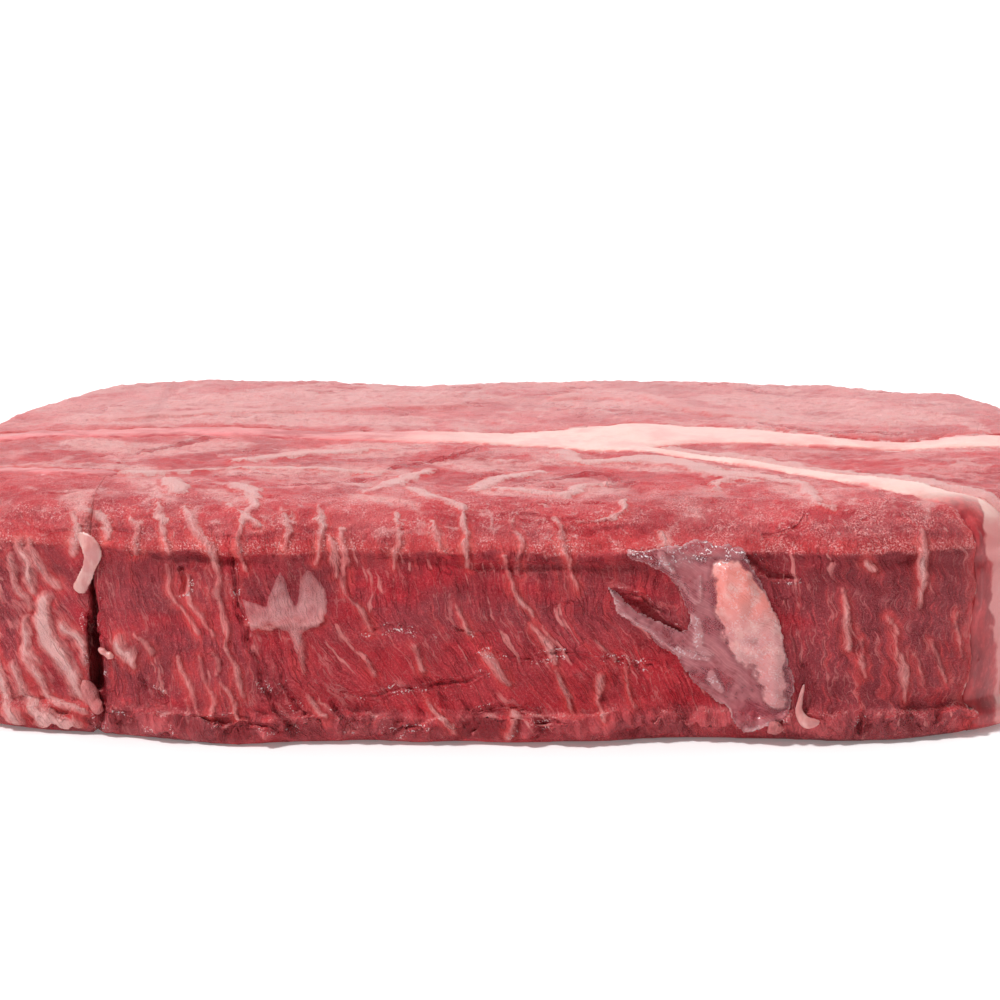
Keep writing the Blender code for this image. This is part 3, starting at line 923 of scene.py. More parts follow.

# %% [markdown]
# ## Lean meat
#
# Lean beef is a dusky crimson, lighter where fibres are cut across, and laced
# with fat: a net of thin sheets between the bundles, which shows as wavy
# upright lines on the sides and as a broken net on top. On top, part of the
# lightness is painted light from above, and towards the back a painted sheen.
# It is a solid texture, read in the same leaning space as the relief. Light
# enters the meat and comes out redder, so it gets subsurface scattering. Shade
# and shadow are painted into the hollows, the cracks, under the brow and beside
# each streak of fat, and light onto the ridges, the rim of the brow and the
# knolls of the foot. A wet surface glints, and the finest glints are painted:
# small pale dots where the meat is wettest.

# %% Helpers for colours
CRIMSON = (0.53, 0.012, 0.028)
DUSKY = (0.33, 0.036, 0.05)
DEEP_RED = (0.62, 0.02, 0.034)
DULL_RED = (0.2, 0.02, 0.03)
# The darkest reds: the meat's own dark tone in the gaps between fibres, and painted shade in hollows, in
# cracks, under the brow and beside streaks of fat.
SHADE_AND_DARK_RED = (0.19, 0.003, 0.008)
TOP_SHADE_AND_DARK_RED = (0.56, 0.018, 0.032)
TOP_RED = (0.66, 0.045, 0.06)
BRIGHT = (0.8, 0.06, 0.062)
ROSE = (0.86, 0.1, 0.112)
PALE_ROSE = (0.95, 0.19, 0.2)
FAR_SHEEN_ROSE = (0.95, 0.4, 0.4)
FAR_SHEEN = (0.97, 0.5, 0.5)
NET_ROSE = (0.95, 0.41, 0.4)
SIDE_PATCH = (0.94, 0.27, 0.25)
TOP_PATCH = (1.0, 0.5, 0.48)
FOOT_PINK = (0.5, 0.09, 0.102)
KNOLL_HIGHLIGHT = (0.72, 0.2, 0.21)
HALO = (0.86, 0.08, 0.076)
RIM_HALO = (0.92, 0.17, 0.15)
VEIN = (0.84, 0.27, 0.26)
PALE_VEIN = (0.92, 0.48, 0.46)
FILM = (0.88, 0.43, 0.43)
GLINT_GRAIN = (1.0, 0.36, 0.35)
GLINT_DOT = (1.0, 0.56, 0.55)
SPARK = (1.0, 0.8, 0.8)


def numbers(start, *names):
    """Numbers stored on the mesh."""
    return [start.node("ShaderNodeAttribute", {"attribute_name": n}, None, "Fac") for n in names]


def bump(height, distance, strength=1.0):
    inputs = {"Height": height, "Distance": distance, "Strength": strength}
    return height.node("ShaderNodeBump", None, inputs)


def mottled(place):
    return (place * (0.8, 1.0, 1.0)).noise(15, 6.0, 0.66)


print("palette ready")


# %% The lean material
def lean_material():
    material, shader, place = new_material("lean_beef", {
        "Subsurface Weight": 0.1,
        "Subsurface Radius": (1.0, 0.2, 0.12),
        "Subsurface Scale": 1.2 * MM,
        "Specular IOR Level": 0.25,
    })
    across, back, up = place.parts()
    fibres = fibre_space(place)
    relief, top, rim, foot, crack, under, to_fat = numbers(
        place, "relief", "top", "rim", "foot", "crack", "under", "to_fat"
    )
    drawn, shade, cut, film, pale_patch, fork = numbers(
        place, "fat_stroke", "fat_shadow", "crack_stroke", "film_stroke", "patch_stroke",
        "by_the_fork",
    )
    side = 1.0 - top

    # Dusky and crimson patches, long along the slab, and duller towards the right.
    in_front = back.rise(-0.07, -0.08)
    right = across.rise(0.056, 0.07)
    duller = right * 0.2 + across.rise(-0.052, -0.066) * up.rise(27 * MM, 20 * MM) * 0.1
    patches = (place * (0.5, 0.5, 1.0)).noise(10, 3.0, 0.6) - duller * in_front
    dark = mix(top * 0.85, SHADE_AND_DARK_RED, TOP_SHADE_AND_DARK_RED)
    lower = up.rise(30 * MM, 16 * MM) * across.rise(-0.06, -0.035) * across.rise(0.06, 0.04)
    lower = lower * (1.0 - foot.rise(0.0, 0.4))
    # The top is lighter: partly the meat's own tone where fibres are cut across, partly painted light
    # from above, and towards the back a painted sheen.
    pale_and_lit_top = mix(back.rise(-0.075, 0.02), ROSE, PALE_ROSE)
    pale_and_lit_top = mix(back.rise(-0.02, 0.07) * 0.8, pale_and_lit_top, FAR_SHEEN_ROSE)
    mottle = mottled(place)
    away = back.rise(-0.078, -0.05) * 0.5 + 0.15
    patch = (pale_patch + (mottle - 0.5) * 8.0).rise(-1.5, 2.5)
    patch = patch * (place.noise(2, 3.0, 0.7).rise(0.3, 0.62) * 0.5 + 0.36)

    # Fibres, fine and bundled, with a pale or a split one here and there.
    fine = (fibres * (1.0, 1.0, 0.14)).noise(0.6, 3.0, 0.65)
    bundles = (fibres * (1.0, 1.0, 0.12)).noise(2.4, 3.0, 0.6)
    grit = place.noise(0.36, 2.0, 0.65)
    somewhere = place.noise(8)
    pale = (fibres * (1.0, 1.0, 0.11)).noise(1.9).thread(0.035)
    pale = pale * somewhere.rise(0.44, 0.6) * side
    split = ((fibres + 0.5) * (1.0, 1.0, 0.09)).noise(1.5).thread(0.03)
    split = split * somewhere.rise(0.56, 0.42) * side
    # Painted shade: in the hollows of the relief, and in a band under the brow.
    deep = relief.rise(0.0, -0.9) * 0.65
    shaded = up.rise(42 * MM, 40 * MM) * up.rise(30 * MM, 39 * MM)
    colour = layered(
        mix(patches.rise(0.38, 0.7), DUSKY, CRIMSON),
        (lower * side * 0.5, DEEP_RED),
        (right * in_front * 0.28, DULL_RED),
        (top * (0.38 + patches.rise(0.35, 0.65) * 0.35 + back.rise(-0.03, 0.02) * 0.15), pale_and_lit_top),
        (mottle.rise(0.49, 0.6) * top * away, NET_ROSE),
        (mottle.rise(0.48, 0.38) * top * 0.65, TOP_RED),
        (patch, mix(top, SIDE_PATCH, TOP_PATCH)),
        (bundles.rise(0.52, 0.72) * 0.5, BRIGHT),
        (bundles.rise(0.46, 0.3) * 0.45, dark),
        (fine.rise(0.5, 0.72) * 0.38, ROSE),
        (fine.rise(0.48, 0.28) * 0.35, dark),
        (grit.rise(0.52, 0.72) * 0.35, PALE_ROSE),
        (grit.rise(0.46, 0.3) * 0.35, dark),
        (pale * 0.4, VEIN),
        (split * 0.45, SHADE_AND_DARK_RED),
        (foot.rise(0.0, 0.5) * 0.45, FOOT_PINK),
        # painted highlight on the knolls of the foot's lobes
        (foot.rise(0.52, 0.7) * 0.45, KNOLL_HIGHLIGHT),
        # painted highlight along the rim of the brow and on the ridges of the relief
        (rim * 0.52, BRIGHT),
        (relief.rise(0.15, 0.9) * 0.3, ROSE),
        # painted shade under the brow, in the hollows and in the cracks
        (shaded * side * (patches.rise(0.62, 0.42) * 0.3 + 0.1), SHADE_AND_DARK_RED),
        (deep.atop(crack * 0.8).atop(under * 0.15), dark),
    )

    # Thin sheets of fat between bundles. On the sides they show as short upright
    # streaks, on top as a broken net.
    streaks = (fibres * (1.0, 1.0, 0.1)).noise(1.5, 1.5).rise(0.63, 0.71)
    brow = back.rise(-0.064, -0.072)
    streaks = streaks * place.noise(11).rise(0.42, 0.6) * (1.0 - top * (1.0 - brow * 0.7))
    warped = place + (place.noise(7, 3.0, 0.6, "Color") - 0.5) * (0.012, 0.012, 0.0)
    wall = (warped * (0.8, 1.0, 0.2)).cells(13, "DISTANCE_TO_EDGE")
    width = place.noise(12, 3.0, 0.6).rise(0.46, 0.74) * (0.12 + back.rise(-0.02, 0.03) * 0.08) - 0.03
    net = (wall - width).rise(0.035, -0.03) * top
    flecks = (warped * (1.0, 1.0, 0.3)).noise(2.2, 3.0, 0.6).rise(0.62, 0.72)
    flecks = flecks * place.noise(15).rise(0.45, 0.6) * top
    # The sides away from the front get longer veins.
    veins = ((fibres + 0.3) * (1.0, 1.0, 0.22)).noise(5, 3.0, 0.6).thread(0.05)
    veins = veins * place.noise(13).rise(0.46, 0.58) * (back.rise(-0.078, -0.068) * side)
    # The strokes get a ragged edge, and fade here and there.
    wobble = (fibres * (1.0, 1.0, 0.3)).noise(1.1, 3.0, 0.65) - 0.5
    fading = place.noise(5).rise(0.36, 0.56)
    uneven = (warped.noise(4.5, 3.0, 0.6) - 0.5) * top * 5.0
    depth = drawn + wobble * 1.5 + uneven
    depth = depth + across.rise(-0.086, -0.09) * side * 0.4
    far = back.rise(-0.03, 0.05) * top
    stroke = depth.rise(-0.4, 0.4) * (0.6 + fading * 0.4) * (fine.rise(0.36, 0.58) * 0.4 + 0.6)
    stroke = stroke.atop(depth.rise(0.3, 1.2) * 0.9) * (1.0 - far * 0.65)
    # Beside a seam the fat runs out in a fringe.
    reach = fork * back.rise(-6 * MM, -14 * MM) * 4.0 + 1.1
    fringe = to_fat + wobble * 2.4 + (place.noise(6, 3.0, 0.6) - 0.5) * 8.0
    fringe = fringe.rise(reach, reach - 1.0) * (1.0 - across.rise(5 * MM, -45 * MM) * 0.85)
    fat = (streaks * 0.75).atop(veins * 0.8)
    fat = fat.atop(net * 0.5).atop(flecks * 0.6).atop(stroke).atop(fringe * 0.9)
    vein = mix(top.atop(fringe).atop(depth.rise(0.2, 1.4)), VEIN, PALE_VEIN)

    edge = film.rise(-0.1, 0.05) * film.rise(0.8, 0.1)
    veil = (0.3 + fading * 0.3 + fine.rise(0.4, 0.6) * 0.12) * film.rise(-0.1, 0.9)
    veil = (veil + edge * 0.25) * (up.rise(42 * MM, 30 * MM) * 0.7 + 0.3)
    # Painted glints: wet points, each too small to be more than a dot of light, and sparks beside the
    # cracks.
    wet = place.noise(6, 3.0, 0.6)
    wettest = rim.atop(back.rise(-0.035, -0.07) * top)
    glint_grains = grit.rise(0.46, 0.62) * wet.rise(0.4, 0.6) * wettest
    dots = (wet.rise(0.4, 0.62) * 0.6 + 0.2) * wettest.atop(0.1)
    dots = place.noise(0.42, 1.0).rise(0.54, 0.68) * dots * (1.0 - deep)
    shore = cut.rise(-1.5, -0.9) * cut.rise(-0.3, -0.6) * place.noise(4).rise(0.52, 0.6)
    sparks = place.noise(0.42, 2.0, 0.6).rise(0.56, 0.62) * shore * (0.85 - top * 0.5)
    colour = layered(
        colour,
        ((to_fat + wobble * 2.0).rise(5.5, 0.8) * 0.6, BRIGHT),
        (depth.rise(-2.2, 0.0) * (fading * 0.4 + rim * 0.25 + 0.1), mix(rim, HALO, RIM_HALO)),
        # painted shadow beside each streak of fat
        ((shade + wobble).rise(-0.5, 0.4) * side * 0.55, SHADE_AND_DARK_RED),
        (fat, vein),
        # painted sheen over the back of the top
        (far * 0.32, FAR_SHEEN),
        (veil, FILM),
        (glint_grains * (0.36 + across.rise(0.02, 0.06) * 0.3), GLINT_GRAIN),
        (dots * 0.85, GLINT_DOT),
        (sparks, SPARK),
    )
    plug(shader, "Base Color", colour)

    rough_patch = place.noise(9).rise(0.44, 0.58)
    plug(shader, "Roughness", 0.34 - rough_patch * 0.1 - crack * 0.2 + fine * 0.1)

    lip = cut.rise(-1.1, -0.7) * cut.rise(-0.3, -0.6)
    height = fine * 0.4 + grit * (0.4 + rough_patch.atop(top) * 0.6) + fat * 0.25
    height = height + pale * 0.2 - split * 0.35 + lip * 0.4
    plug(shader, "Normal", bump(height, 0.7 * MM))
    return material


LEAN = lean_material()
print(LEAN.name, "has", len(LEAN.node_tree.nodes), "nodes")

# %% Fat and film materials
CREAM = (0.86, 0.54, 0.48)
PINK_FAT = (0.74, 0.21, 0.21)
BRANCH_PINK = (0.92, 0.46, 0.44)
LAPPED_PINK = (0.9, 0.32, 0.32)
ISLAND_DARK = (0.5, 0.045, 0.055)
ISLAND_PALE = (0.8, 0.2, 0.21)
LAP_DARK = (0.3, 0.01, 0.02)
LAP_PALE = (0.56, 0.034, 0.044)
RAG_DARK = (0.42, 0.02, 0.034)
RAG_PALE = (0.66, 0.05, 0.06)


def fat_material():
    material, shader, place = new_material("beef_fat", {
        "Subsurface Weight": 0.3,
        "Subsurface Radius": (1.0, 0.5, 0.38),
        "Subsurface Scale": 2.0 * MM,
        "Roughness": 0.42,
        "Coat Weight": 0.2,
        "Coat Roughness": 0.2,
    })
    across, back, up = place.parts()
    to_lean, top = numbers(place, "to_lean", "top")
    cloud = place.noise(9, 3.0, 0.6).rise(0.42, 0.68)
    pinker = across.rise(5 * MM, -45 * MM) * (top * 0.75 + 0.25)
    sideways = 0.85 - top * 0.85
    wobble = (place.noise(2.5, 3.0, 0.6) - 0.5) * 3.0
    mottle = mottled(place)
    # The lean behind laps over the branch that runs straight on.
    branch = back.rise(-4 * MM, 2 * MM) * across.rise(24 * MM, 40 * MM) * top
    behind = (to_lean + wobble * 0.7).rise(2.3, 1.3) * branch
    islands = (place * (0.5, 1.0, 1.0)).noise(9, 4.0, 0.6).rise(0.38, 0.52) * pinker
    # Low on the corner the lean laps over the fat.
    border = 0.106 - up.rise(0.0, 0.05) * 0.0036 + (place.noise(8) - 0.5) * 0.006
    lap = (across + wobble * (0.5 * MM) - border).rise(0.4 * MM, -0.4 * MM)
    lap = lap * back.rise(-0.06, -0.072) * across.rise(0.08, 0.09)
    fine = (place * (1.0, 1.0, 0.5)).noise(0.8, 3.0, 0.65)
    bundles = (place * (1.0, 1.0, 0.25)).noise(4, 3.0, 0.6)
    lean = layered(
        mix(bundles.rise(0.36, 0.62), LAP_DARK, LAP_PALE),
        (fine.rise(0.5, 0.74) * 0.3, ROSE),
        (fine.rise(0.48, 0.28) * 0.3, SHADE_AND_DARK_RED),
    )
    # On the sides the lean beside a seam laps over it in rags.
    rags = to_lean + (place.noise(5, 3.0, 0.6) - 0.5) * 9.0 + wobble * 0.4
    rags = rags.rise(1.9, 1.2) * (1.0 - top) * back.rise(-0.066, -0.056)
    plug(shader, "Base Color", layered(
        mix((cloud * 0.4).atop(pinker).atop(sideways), CREAM, PINK_FAT),
        ((to_lean + wobble).rise(1.1, 0.0) * 0.5, ROSE),
        (behind * 0.85, LAPPED_PINK),
        (branch * 0.3, BRANCH_PINK),
        (islands, mix(mottle.rise(0.4, 0.6), ISLAND_DARK, ISLAND_PALE)),
        (lap * 0.92, lean),
        (rags * 0.9, mix(mottle.rise(0.42, 0.58), RAG_DARK, RAG_PALE)),
    ))
    lumps = 1.0 - place.cells(2.2, "SMOOTH_F1")
    plug(shader, "Normal", bump(lumps * 0.5 + place.noise(0.7, 3.0) * 0.5, 0.35 * MM, 0.6))
    return material


SKIN_DARK = (0.46, 0.07, 0.1)
SKIN_PALE = (0.68, 0.195, 0.22)
SKIN_BAND = (0.72, 0.24, 0.26)
SKIN_LINE = (0.8, 0.34, 0.36)
SKIN_RIDGE = (0.88, 0.46, 0.46)
SKIN_RIM = (0.92, 0.6, 0.6)
LUMP_LOW = (0.76, 0.29, 0.29)
LUMP_HIGH = (0.92, 0.27, 0.235)
LUMP_CLOUD = (0.95, 0.47, 0.44)
LUMP_RING = (0.3, 0.045, 0.065)
LUMP_VEIN = (0.8, 0.16, 0.15)
LUMP_GREY = (0.56, 0.19, 0.21)
SKIN_GLINT = (1.0, 0.88, 0.9)


def film_material():
    """Silver skin: a thin grey-pink sheet, with a lump of fat showing through it."""
    material, shader, place = new_material("silver_skin", {
        "Subsurface Weight": 0.15,
        "Subsurface Radius": (1.0, 0.4, 0.3),
        "Subsurface Scale": 1.5 * MM,
        "Coat Weight": 0.5,
        "Coat Roughness": 0.08,
    })
    lump, fold, depth = numbers(place, "lump_stroke", "fold_stroke", "edge_depth")
    up = place.part("Z")
    # Fine lines run along the sheet, at a slant.
    bent = place + (place.noise(9, 1.0, output="Color") - 0.5) * (0.004, 0.0, 0.004)
    across = bent.part("X") * 0.57 + bent.part("Z") * 0.82
    along = bent.part("X") * 0.82 - bent.part("Z") * 0.57
    grain = place.node("ShaderNodeCombineXYZ", None, {"X": across, "Y": along * 0.05})
    lines = grain.noise(0.3, 1.0)
    bands = (grain + 0.3).noise(3.4)
    cloud = place.noise(4, 3.0, 0.6)
    fat = mix(up.rise(22 * MM, 33 * MM), LUMP_LOW, LUMP_HIGH)
    fat = mix(cloud.rise(0.46, 0.66) * 0.7, fat, LUMP_CLOUD)
    ragged = lump + (cloud - 0.5) * 3.4 + (bands - 0.5) * 1.4
    inside = ragged.rise(-0.3, 0.5)
    greyer = (cloud - up.rise(10 * MM, 30 * MM) * 0.4).rise(0.34, 0.52) * inside
    ridge = (fold + (lines - 0.5) * 0.8).rise(-0.4, 0.3)
    edge = depth.rise(0.5, 0.05)
    # Painted glints: pale dots near the top edge, on the folds and on the lump.
    wet = up.rise(37.5 * MM, 40 * MM).atop(ridge * 0.6).atop(inside * 0.25)
    dots = place.noise(0.42, 1.0).rise(0.53, 0.64) * (wet * place.noise(3).rise(0.44, 0.56))
    plug(shader, "Base Color", layered(
        mix(cloud.rise(0.36, 0.62), SKIN_DARK, SKIN_PALE),
        (bands.rise(0.45, 0.65) * 0.25, SKIN_BAND),
        (lines.rise(0.5, 0.62) * 0.22, SKIN_LINE),
        (ragged.rise(-1.2, -0.3) * ragged.rise(0.3, -0.2) * 0.5, LUMP_RING),
        (inside, fat),
        (place.noise(3, 3.0, 0.6).thread(0.02) * inside * 0.5, LUMP_VEIN),
        (greyer * 0.45, LUMP_GREY),
        (ridge * 0.35, SKIN_RIDGE),
        (edge * 0.4, SKIN_RIM),
        (dots, SKIN_GLINT),
    ))
    sheet = 0.4 + cloud.rise(0.35, 0.65) * 0.22 + lines.rise(0.5, 0.62) * 0.08
    plug(shader, "Alpha", sheet.atop(ridge * 0.75).atop(edge * 0.7).atop(inside).atop(dots))
    plug(shader, "Roughness", 0.22 + lines * 0.25)
    height = lines * 0.5 + bands * 0.6 + place.noise(0.5) * 0.35
    plug(shader, "Normal", bump(height, 0.5 * MM, 0.9))
    return material


def scrap_material():
    """Waxy, slightly see-through fat."""
    material, shader, place = new_material("scrap_fat", {
        "Subsurface Weight": 0.5,
        "Subsurface Radius": (1.0, 0.45, 0.35),
        "Subsurface Scale": 1.6 * MM,
        "Roughness": 0.3,
        "Coat Weight": 0.4,
        "Coat Roughness": 0.1,
    })
    cloud = (place * (1.0, 1.0, 0.4)).noise(2.5, 3.0, 0.6)
    plug(shader, "Base Color", mix(cloud.rise(0.4, 0.62), (0.66, 0.26, 0.25), (0.78, 0.4, 0.37)))
    plug(shader, "Normal", bump(cloud * 0.6 + place.noise(0.6) * 0.4, 0.4 * MM, 0.7))
    return material


FAT = fat_material()
SCRAP = scrap_material()
SKIN = film_material()
print("materials", [m.name for m in (LEAN, FAT, SCRAP, SKIN)])

# %% Make the muscles and the seams
SEAM_TREE = seam_relief(FAT)
# Painted shadow: each streak of fat gets a dark line a little to its right and below, away from the sun.
SHADOW_STEP = np.array((0.75, 0.0, -0.35)) * MM  # a dark line follows each streak of fat


def finish_piece(piece, node=None):
    """Keeps the piece above the floor, hides the solid that it stands for and hangs it under the root."""
    places = rows_of(piece.data.vertices)
    places[:, 2] = np.maximum(places[:, 2], 0.0)
    piece.data.vertices.foreach_set("co", places.ravel())
    piece.data.shade_smooth()
    if node:
        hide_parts(node)
    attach(piece, "root")
    piece.data.calc_loop_triangles()
    print(piece.name, len(piece.data.loop_triangles), "triangles")


for muscle in MUSCLES:
    piece = fine_copy(muscle, "silver_skin" if muscle == "front_muscle" else None)
    places = rows_of(piece.data.vertices)
    store(
        piece.data,
        fat_stroke=depth_inside(places, FAT_STROKES),
        fat_shadow=depth_inside(places - SHADOW_STEP, FAT_STROKES),
        crack_stroke=depth_inside(places, CRACK_STROKES),
        film_stroke=film_depth(places),
        patch_stroke=depth_inside(places, PATCH_STROKES),
        by_the_fork=np.full(len(places), muscle == "wedge_muscle"),
    )
    run_tree(piece, muscle_relief(LEAN, muscle), RELIEF)
    finish_piece(piece, muscle)
for seam in SEAMS:
    piece = fine_copy(seam)
    run_tree(piece, SEAM_TREE, SEAM_RELIEF)
    finish_piece(piece, seam)

# %% [markdown]
# ## Silver skin
#
# Between two muscles lies a tough, thin sheet. Here a flap of it clings to the
# front, with a lump of fat caught behind it. A sheet is best made as one: we
# draw its outline, lay a fine grid inside it, and send a ray from each point of
# the grid back to the meat. The sheet rests where the rays land, a little
# smoothed, since a taut skin bridges small hollows. Strokes then raise the lump
# and the folds, and Solidify gives it a quarter of a millimetre of thickness.

# %% The outline, the lump and the folds of the silver skin
SKIN_EDGE = [
    (25.9, 41.9), (28.7, 41.6), (32.8, 42.2), (36.3, 42.8), (40.4, 43.6), (43.9, 42.8),
    (47.3, 42.5), (50.1, 41.7), (51.8, 39.3), (53.7, 35.4), (55.9, 31.4), (57.7, 28.1),
    (58.4, 24.1), (59.4, 19.8), (60.8, 15.8), (61.6, 13.6), (61.1, 9.7), (60.1, 6.8),
    (58.4, 5), (55.6, 4.2), (52.8, 2.8), (51.3, 2.3), (49.4, 4.2), (47.3, 7.9),
    (43.9, 10.4), (41.8, 11.8), (40.4, 13.3), (38.3, 16.5), (36.9, 18.7), (34.2, 20.5),
    (31.1, 23.4), (28, 25.9), (25.6, 27.6), (24.2, 28.5), (23.5, 31.4), (21.8, 35),
    (24.2, 32.8), (25.9, 30.6), (29, 28.5), (31.1, 27.4), (34.5, 25.6), (37.3, 24.5),
    (39, 24.9), (39.5, 27), (38.8, 28.8), (37.6, 31.4), (36.9, 33.9), (34.9, 36.1),
    (32.8, 37.5), (30, 39), (27.6, 40.1),
]
LUMP_STROKES = [
    [(46.2, 37.8, 1.9), (48.6, 34.3, 3.9), (50.4, 30.6, 5.7), (51.6, 27, 6.6), (53.2, 23.4, 6),
     (55.3, 19.4, 4.3), (57.2, 14.6, 3), (58, 9.5, 2)],
]
FOLD_STROKES = [
    # free edges
    [(22, 34.6, 0.2), (23.9, 31, 0.5), (24.9, 28.3, 0.8), (28, 26.3, 0.35), (31.3, 23.8, 0.3),
     (34.4, 21, 0.4), (37, 19.2, 0.4)],
    [(26.2, 41.8, 0.4), (30, 41.4, 0.4), (34, 42.2, 0.5), (38, 43, 0.4)],
    [(52, 3, 0.6), (55.6, 4.6, 0.6), (58.4, 5.4, 0.5)],
    # folds inside
    [(34.9, 36.3, 0.2), (37.6, 33.9, 0.25), (41, 31.4, 0.35), (41.8, 34, 0.2), (41.6, 36, 0.15)],
    [(33.6, 41, 0.7), (35.5, 37.4, 0.5)],
    [(39.8, 27.5, 0.8), (41.5, 24.5, 1.2), (42, 21.5, 1), (44, 19.5, 0.4)],
    [(36.8, 20.5, 0.7), (39.8, 19.8, 0.7), (43.5, 18.6, 0.5)],
    [(43.5, 14.5, 0.9), (46, 11.8, 0.8)],
]
SKIN_GRID = 0.4  # millimetres
SKIN_THICKNESS = 0.25 * MM
LUMP_HEIGHT = 1.7 * MM
FOLD_HEIGHT = 0.35 * MM
print("outline of", len(SKIN_EDGE), "points")

# %% [markdown]
# The grid's rim is pulled onto the outline, so that the edge is a clean cut and
# not a flight of steps. The numbers that the material needs, how far a point
# lies inside the lump, a fold or the sheet itself, are stored with the sheet.
# Solidify copies them to both of its sides.


# %% The sheet of silver skin
def front_at(targets, across, up):
    """Where a ray sent at the front side first meets one of the pieces."""
    best = 1.0
    for target in targets:
        hit, spot, _, _ = target.ray_cast(Vector((across, -0.3, up)), Vector((0.0, 1.0, 0.0)))
        if hit:
            best = min(best, spot.y)
    return best


def eased(field, times):
    """Each number of a grid averaged with its neighbours."""
    for _ in range(times):
        wide = np.pad(field, 1, mode="edge")
        field = (wide[:-2, 1:-1] + wide[2:, 1:-1] + wide[1:-1, :-2] + wide[1:-1, 2:]) * 0.25
    return field


def skin_grid():
    """The spots of the grid, their depth inside the outline, and which of them are kept."""
    low = np.array(SKIN_EDGE).min(axis=0) - 1.0
    high = np.array(SKIN_EDGE).max(axis=0) + 1.0
    across, up = np.meshgrid(
        np.arange(low[0], high[0], SKIN_GRID), np.arange(low[1], high[1], SKIN_GRID), indexing="ij"
    )
    spots = np.stack([across.ravel(), up.ravel()], axis=1)
    ragged = torn(spots)
    depth = depth_in_outline(ragged, SKIN_EDGE)
    # Pull the rim onto the outline, along the slope of the depth.
    nudge = np.array([0.05, 0.0]), np.array([0.0, 0.05])
    slope = np.stack([depth_in_outline(ragged + way, SKIN_EDGE) - depth for way in nudge], axis=1)
    slope /= np.maximum(np.linalg.norm(slope, axis=1, keepdims=True), 1e-6)
    rim = (depth < 0.12) & (depth > -SKIN_GRID)
    spots = np.where(rim[:, None], spots - slope * depth[:, None], spots)
    return spots, depth, (depth > -SKIN_GRID * 0.55).reshape(across.shape)


def skin_sheet(target):
    """The sheet, laid on the meat."""
    spots, depth, kept = skin_grid()
    rest = [front_at([target], x * MM, z * MM) for x, z in spots]
    rest = np.array(rest).reshape(kept.shape)
    rest = np.minimum(rest, eased(rest, 40)) - 0.12 * MM
    flat = np.stack([spots[:, 0] * MM, np.full(len(spots), FACE_Y * MM), spots[:, 1] * MM], axis=1)
    lump = depth_inside(flat, LUMP_STROKES)
    fold = depth_inside(flat, FOLD_STROKES)
    swollen = np.clip((lump + 0.6) / 3.0, 0.0, 1.0)
    swollen = swollen * swollen * (3.0 - 2.0 * swollen)
    raised = swollen * LUMP_HEIGHT * (1.0 + wander(spots, 3.4, 0.0) * 0.45)
    raised += np.clip((fold + 0.5) / 0.9, 0.0, 1.0) * FOLD_HEIGHT
    flat[:, 1] = rest.ravel() - raised

    body = bmesh.new()
    count = kept.shape[1]
    points = [body.verts.new(co) for co in flat]
    for i in range(kept.shape[0] - 1):
        for j in range(count - 1):
            if kept[i:i + 2, j:j + 2].all():
                first = i * count + j
                corners = first, first + count, first + count + 1, first + 1
                body.faces.new([points[k] for k in corners])
    mesh = mesh_from(body, "fine_silver_skin")
    store(mesh, lump_stroke=lump, fold_stroke=fold, edge_depth=depth)
    body = bmesh.new()
    body.from_mesh(mesh)
    bmesh.ops.delete(body, geom=[v for v in body.verts if not v.link_faces], context="VERTS")
    body.to_mesh(mesh)
    body.free()
    mesh.materials.append(SKIN)
    return mesh


skin = loose_object("fine_silver_skin", skin_sheet(bpy.data.objects["fine_front_muscle"]))
thickness = skin.modifiers.new("thickness", "SOLIDIFY")
thickness.thickness = SKIN_THICKNESS
thickness.offset = 0.0
finish_piece(settled(skin), "silver_skin")

# %% [markdown]
# ## Loose ends
#
# A knife leaves scraps: a pale strip of fat that hangs over the parting, a bead
# of fat in it, a small curl near the foot, and two scraps of lean at the foot.
# Each is a strand of changing thickness laid on the meat. To lay it there, a
# ray is sent at the front side for each stop, and the strand's ring is set
# where the ray lands.

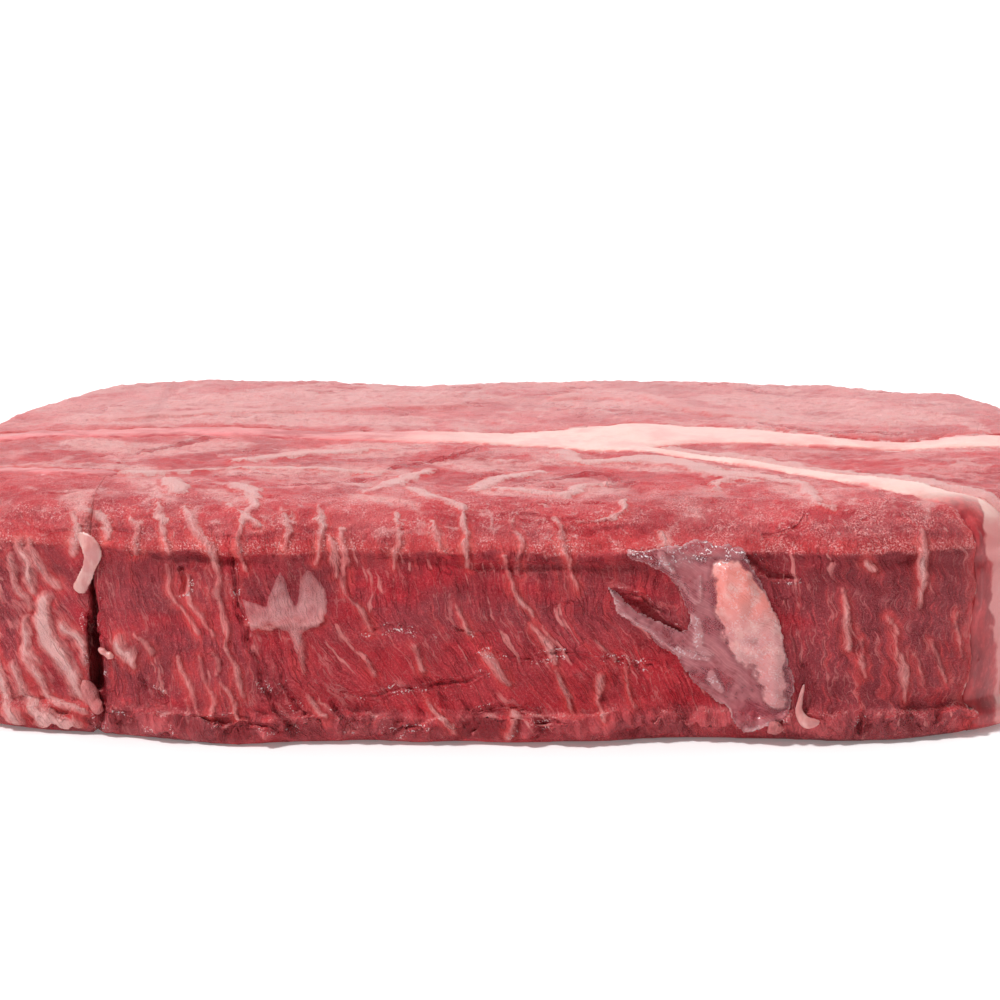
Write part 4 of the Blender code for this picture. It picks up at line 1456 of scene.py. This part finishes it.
# %% Strands laid on the front
SCRAPS = [
    # stops: across, up, radius across the strand, how far it stands out
    ("hanging_strip", [(-88.4, 43.5, 0.8, 0.1), (-87.2, 43.1, 1.6, 0.3), (-85.8, 42, 2, 0.6),
                       (-85, 40, 2.1, 0.7), (-85.8, 37.2, 1.6, 0.7), (-87, 34.4, 1.7, 0.5),
                       (-88.3, 32, 1.6, 0.3), (-88.7, 31.3, 1, 0.2)], 0.2, "beef_fat"),
    ("bead", [(-84.6, 19.4, 0.4, 0.3), (-84.2, 19.2, 0.6, 0.4), (-83.6, 18.9, 0.8, 0.5),
              (-82.9, 18.4, 0.6, 0.5), (-82.2, 18.1, 0.9, 0.5), (-81.5, 17.8, 0.6, 0.4),
              (-81.2, 17.6, 0.4, 0.3)], 0.9, "beef_fat"),
    ("curl", [(63.6, 13.4, 0.1, 0.2), (63.4, 12.4, 0.4, 0.2), (62.8, 9.6, 0.6, 0.3),
              (62.6, 7.2, 0.9, 0.4), (64, 5.2, 1.3, 0.5), (66, 5.2, 0.9, 0.3),
              (67, 5.6, 0.1, 0.2)], 0.8, "beef_fat"),
    ("foot_scrap", [(-88.4, 11.9, 0.2, 0), (-87.8, 10.9, 1.3, 0.2), (-86.9, 9, 1.9, 0.3),
                    (-86, 7.2, 1.5, 0.2), (-84.9, 6, 1.5, 0.2), (-83.9, 5.6, 0.3, 0.1)], 0.8,
     "lean_beef"),
    ("foot_knob", [(56.2, 5.4, 0.2, 0), (57.2, 4.2, 1.6, 0.2), (57.8, 2.8, 1.7, 0.2),
                   (58, 1.5, 0.4, 0)], 0.8, "lean_beef"),
]
RING_POINTS = 14
SCRAP_GRID = 0.3 * MM
FAR_FROM_FAT = 9.0  # millimetres, so that no scrap gets a fringe


def strand(name, stops, flatness, targets):
    """A closed strand of changing thickness that lies on the front."""
    line = smooth_line(stops, 6)
    rest = []
    for across, up, radius, _ in line:
        beside = (across - radius) * MM, across * MM, (across + radius) * MM
        rest.append(min(front_at(targets, x, up * MM) for x in beside))
    rest = np.convolve(np.pad(rest, 4, mode="edge"), np.ones(9) / 9, mode="valid")
    body = bmesh.new()
    rings = []
    for index, (across, up, radius, out) in enumerate(line):
        before = line[max(index - 1, 0)]
        after = line[min(index + 1, len(line) - 1)]
        way = Vector((after[0] - before[0], 0.0, after[1] - before[1])).normalized()
        wide = Vector((way.z, 0.0, -way.x))
        place = Vector((across * MM, 0.0, up * MM))
        place.y = rest[index] - out * MM
        ring = []
        for step in range(RING_POINTS):
            turn = math.tau * step / RING_POINTS
            reach = wide * math.cos(turn) + Vector((0.0, flatness * math.sin(turn), 0.0))
            ring.append(body.verts.new(place + reach * radius * MM))
        rings.append(ring)
    for first, second in zip(rings, rings[1:]):
        for step in range(RING_POINTS):
            after = (step + 1) % RING_POINTS
            body.faces.new((first[step], first[after], second[after], second[step]))
    body.faces.new(rings[0])
    body.faces.new(rings[-1])
    bmesh.ops.recalc_face_normals(body, faces=body.faces)
    return mesh_from(body, name)


lying_on = [bpy.data.objects["fine_front_muscle"], bpy.data.objects["fine_end_muscle"]]
for name, stops, flatness, slot in SCRAPS:
    scrap = regrid(loose_object(name, strand(name, stops, flatness, lying_on)), SCRAP_GRID)
    scrap.data.materials.append(SCRAP if slot == "beef_fat" else LEAN)
    store(scrap.data, to_fat=np.full(len(scrap.data.vertices), FAR_FROM_FAT))
    finish_piece(scrap)
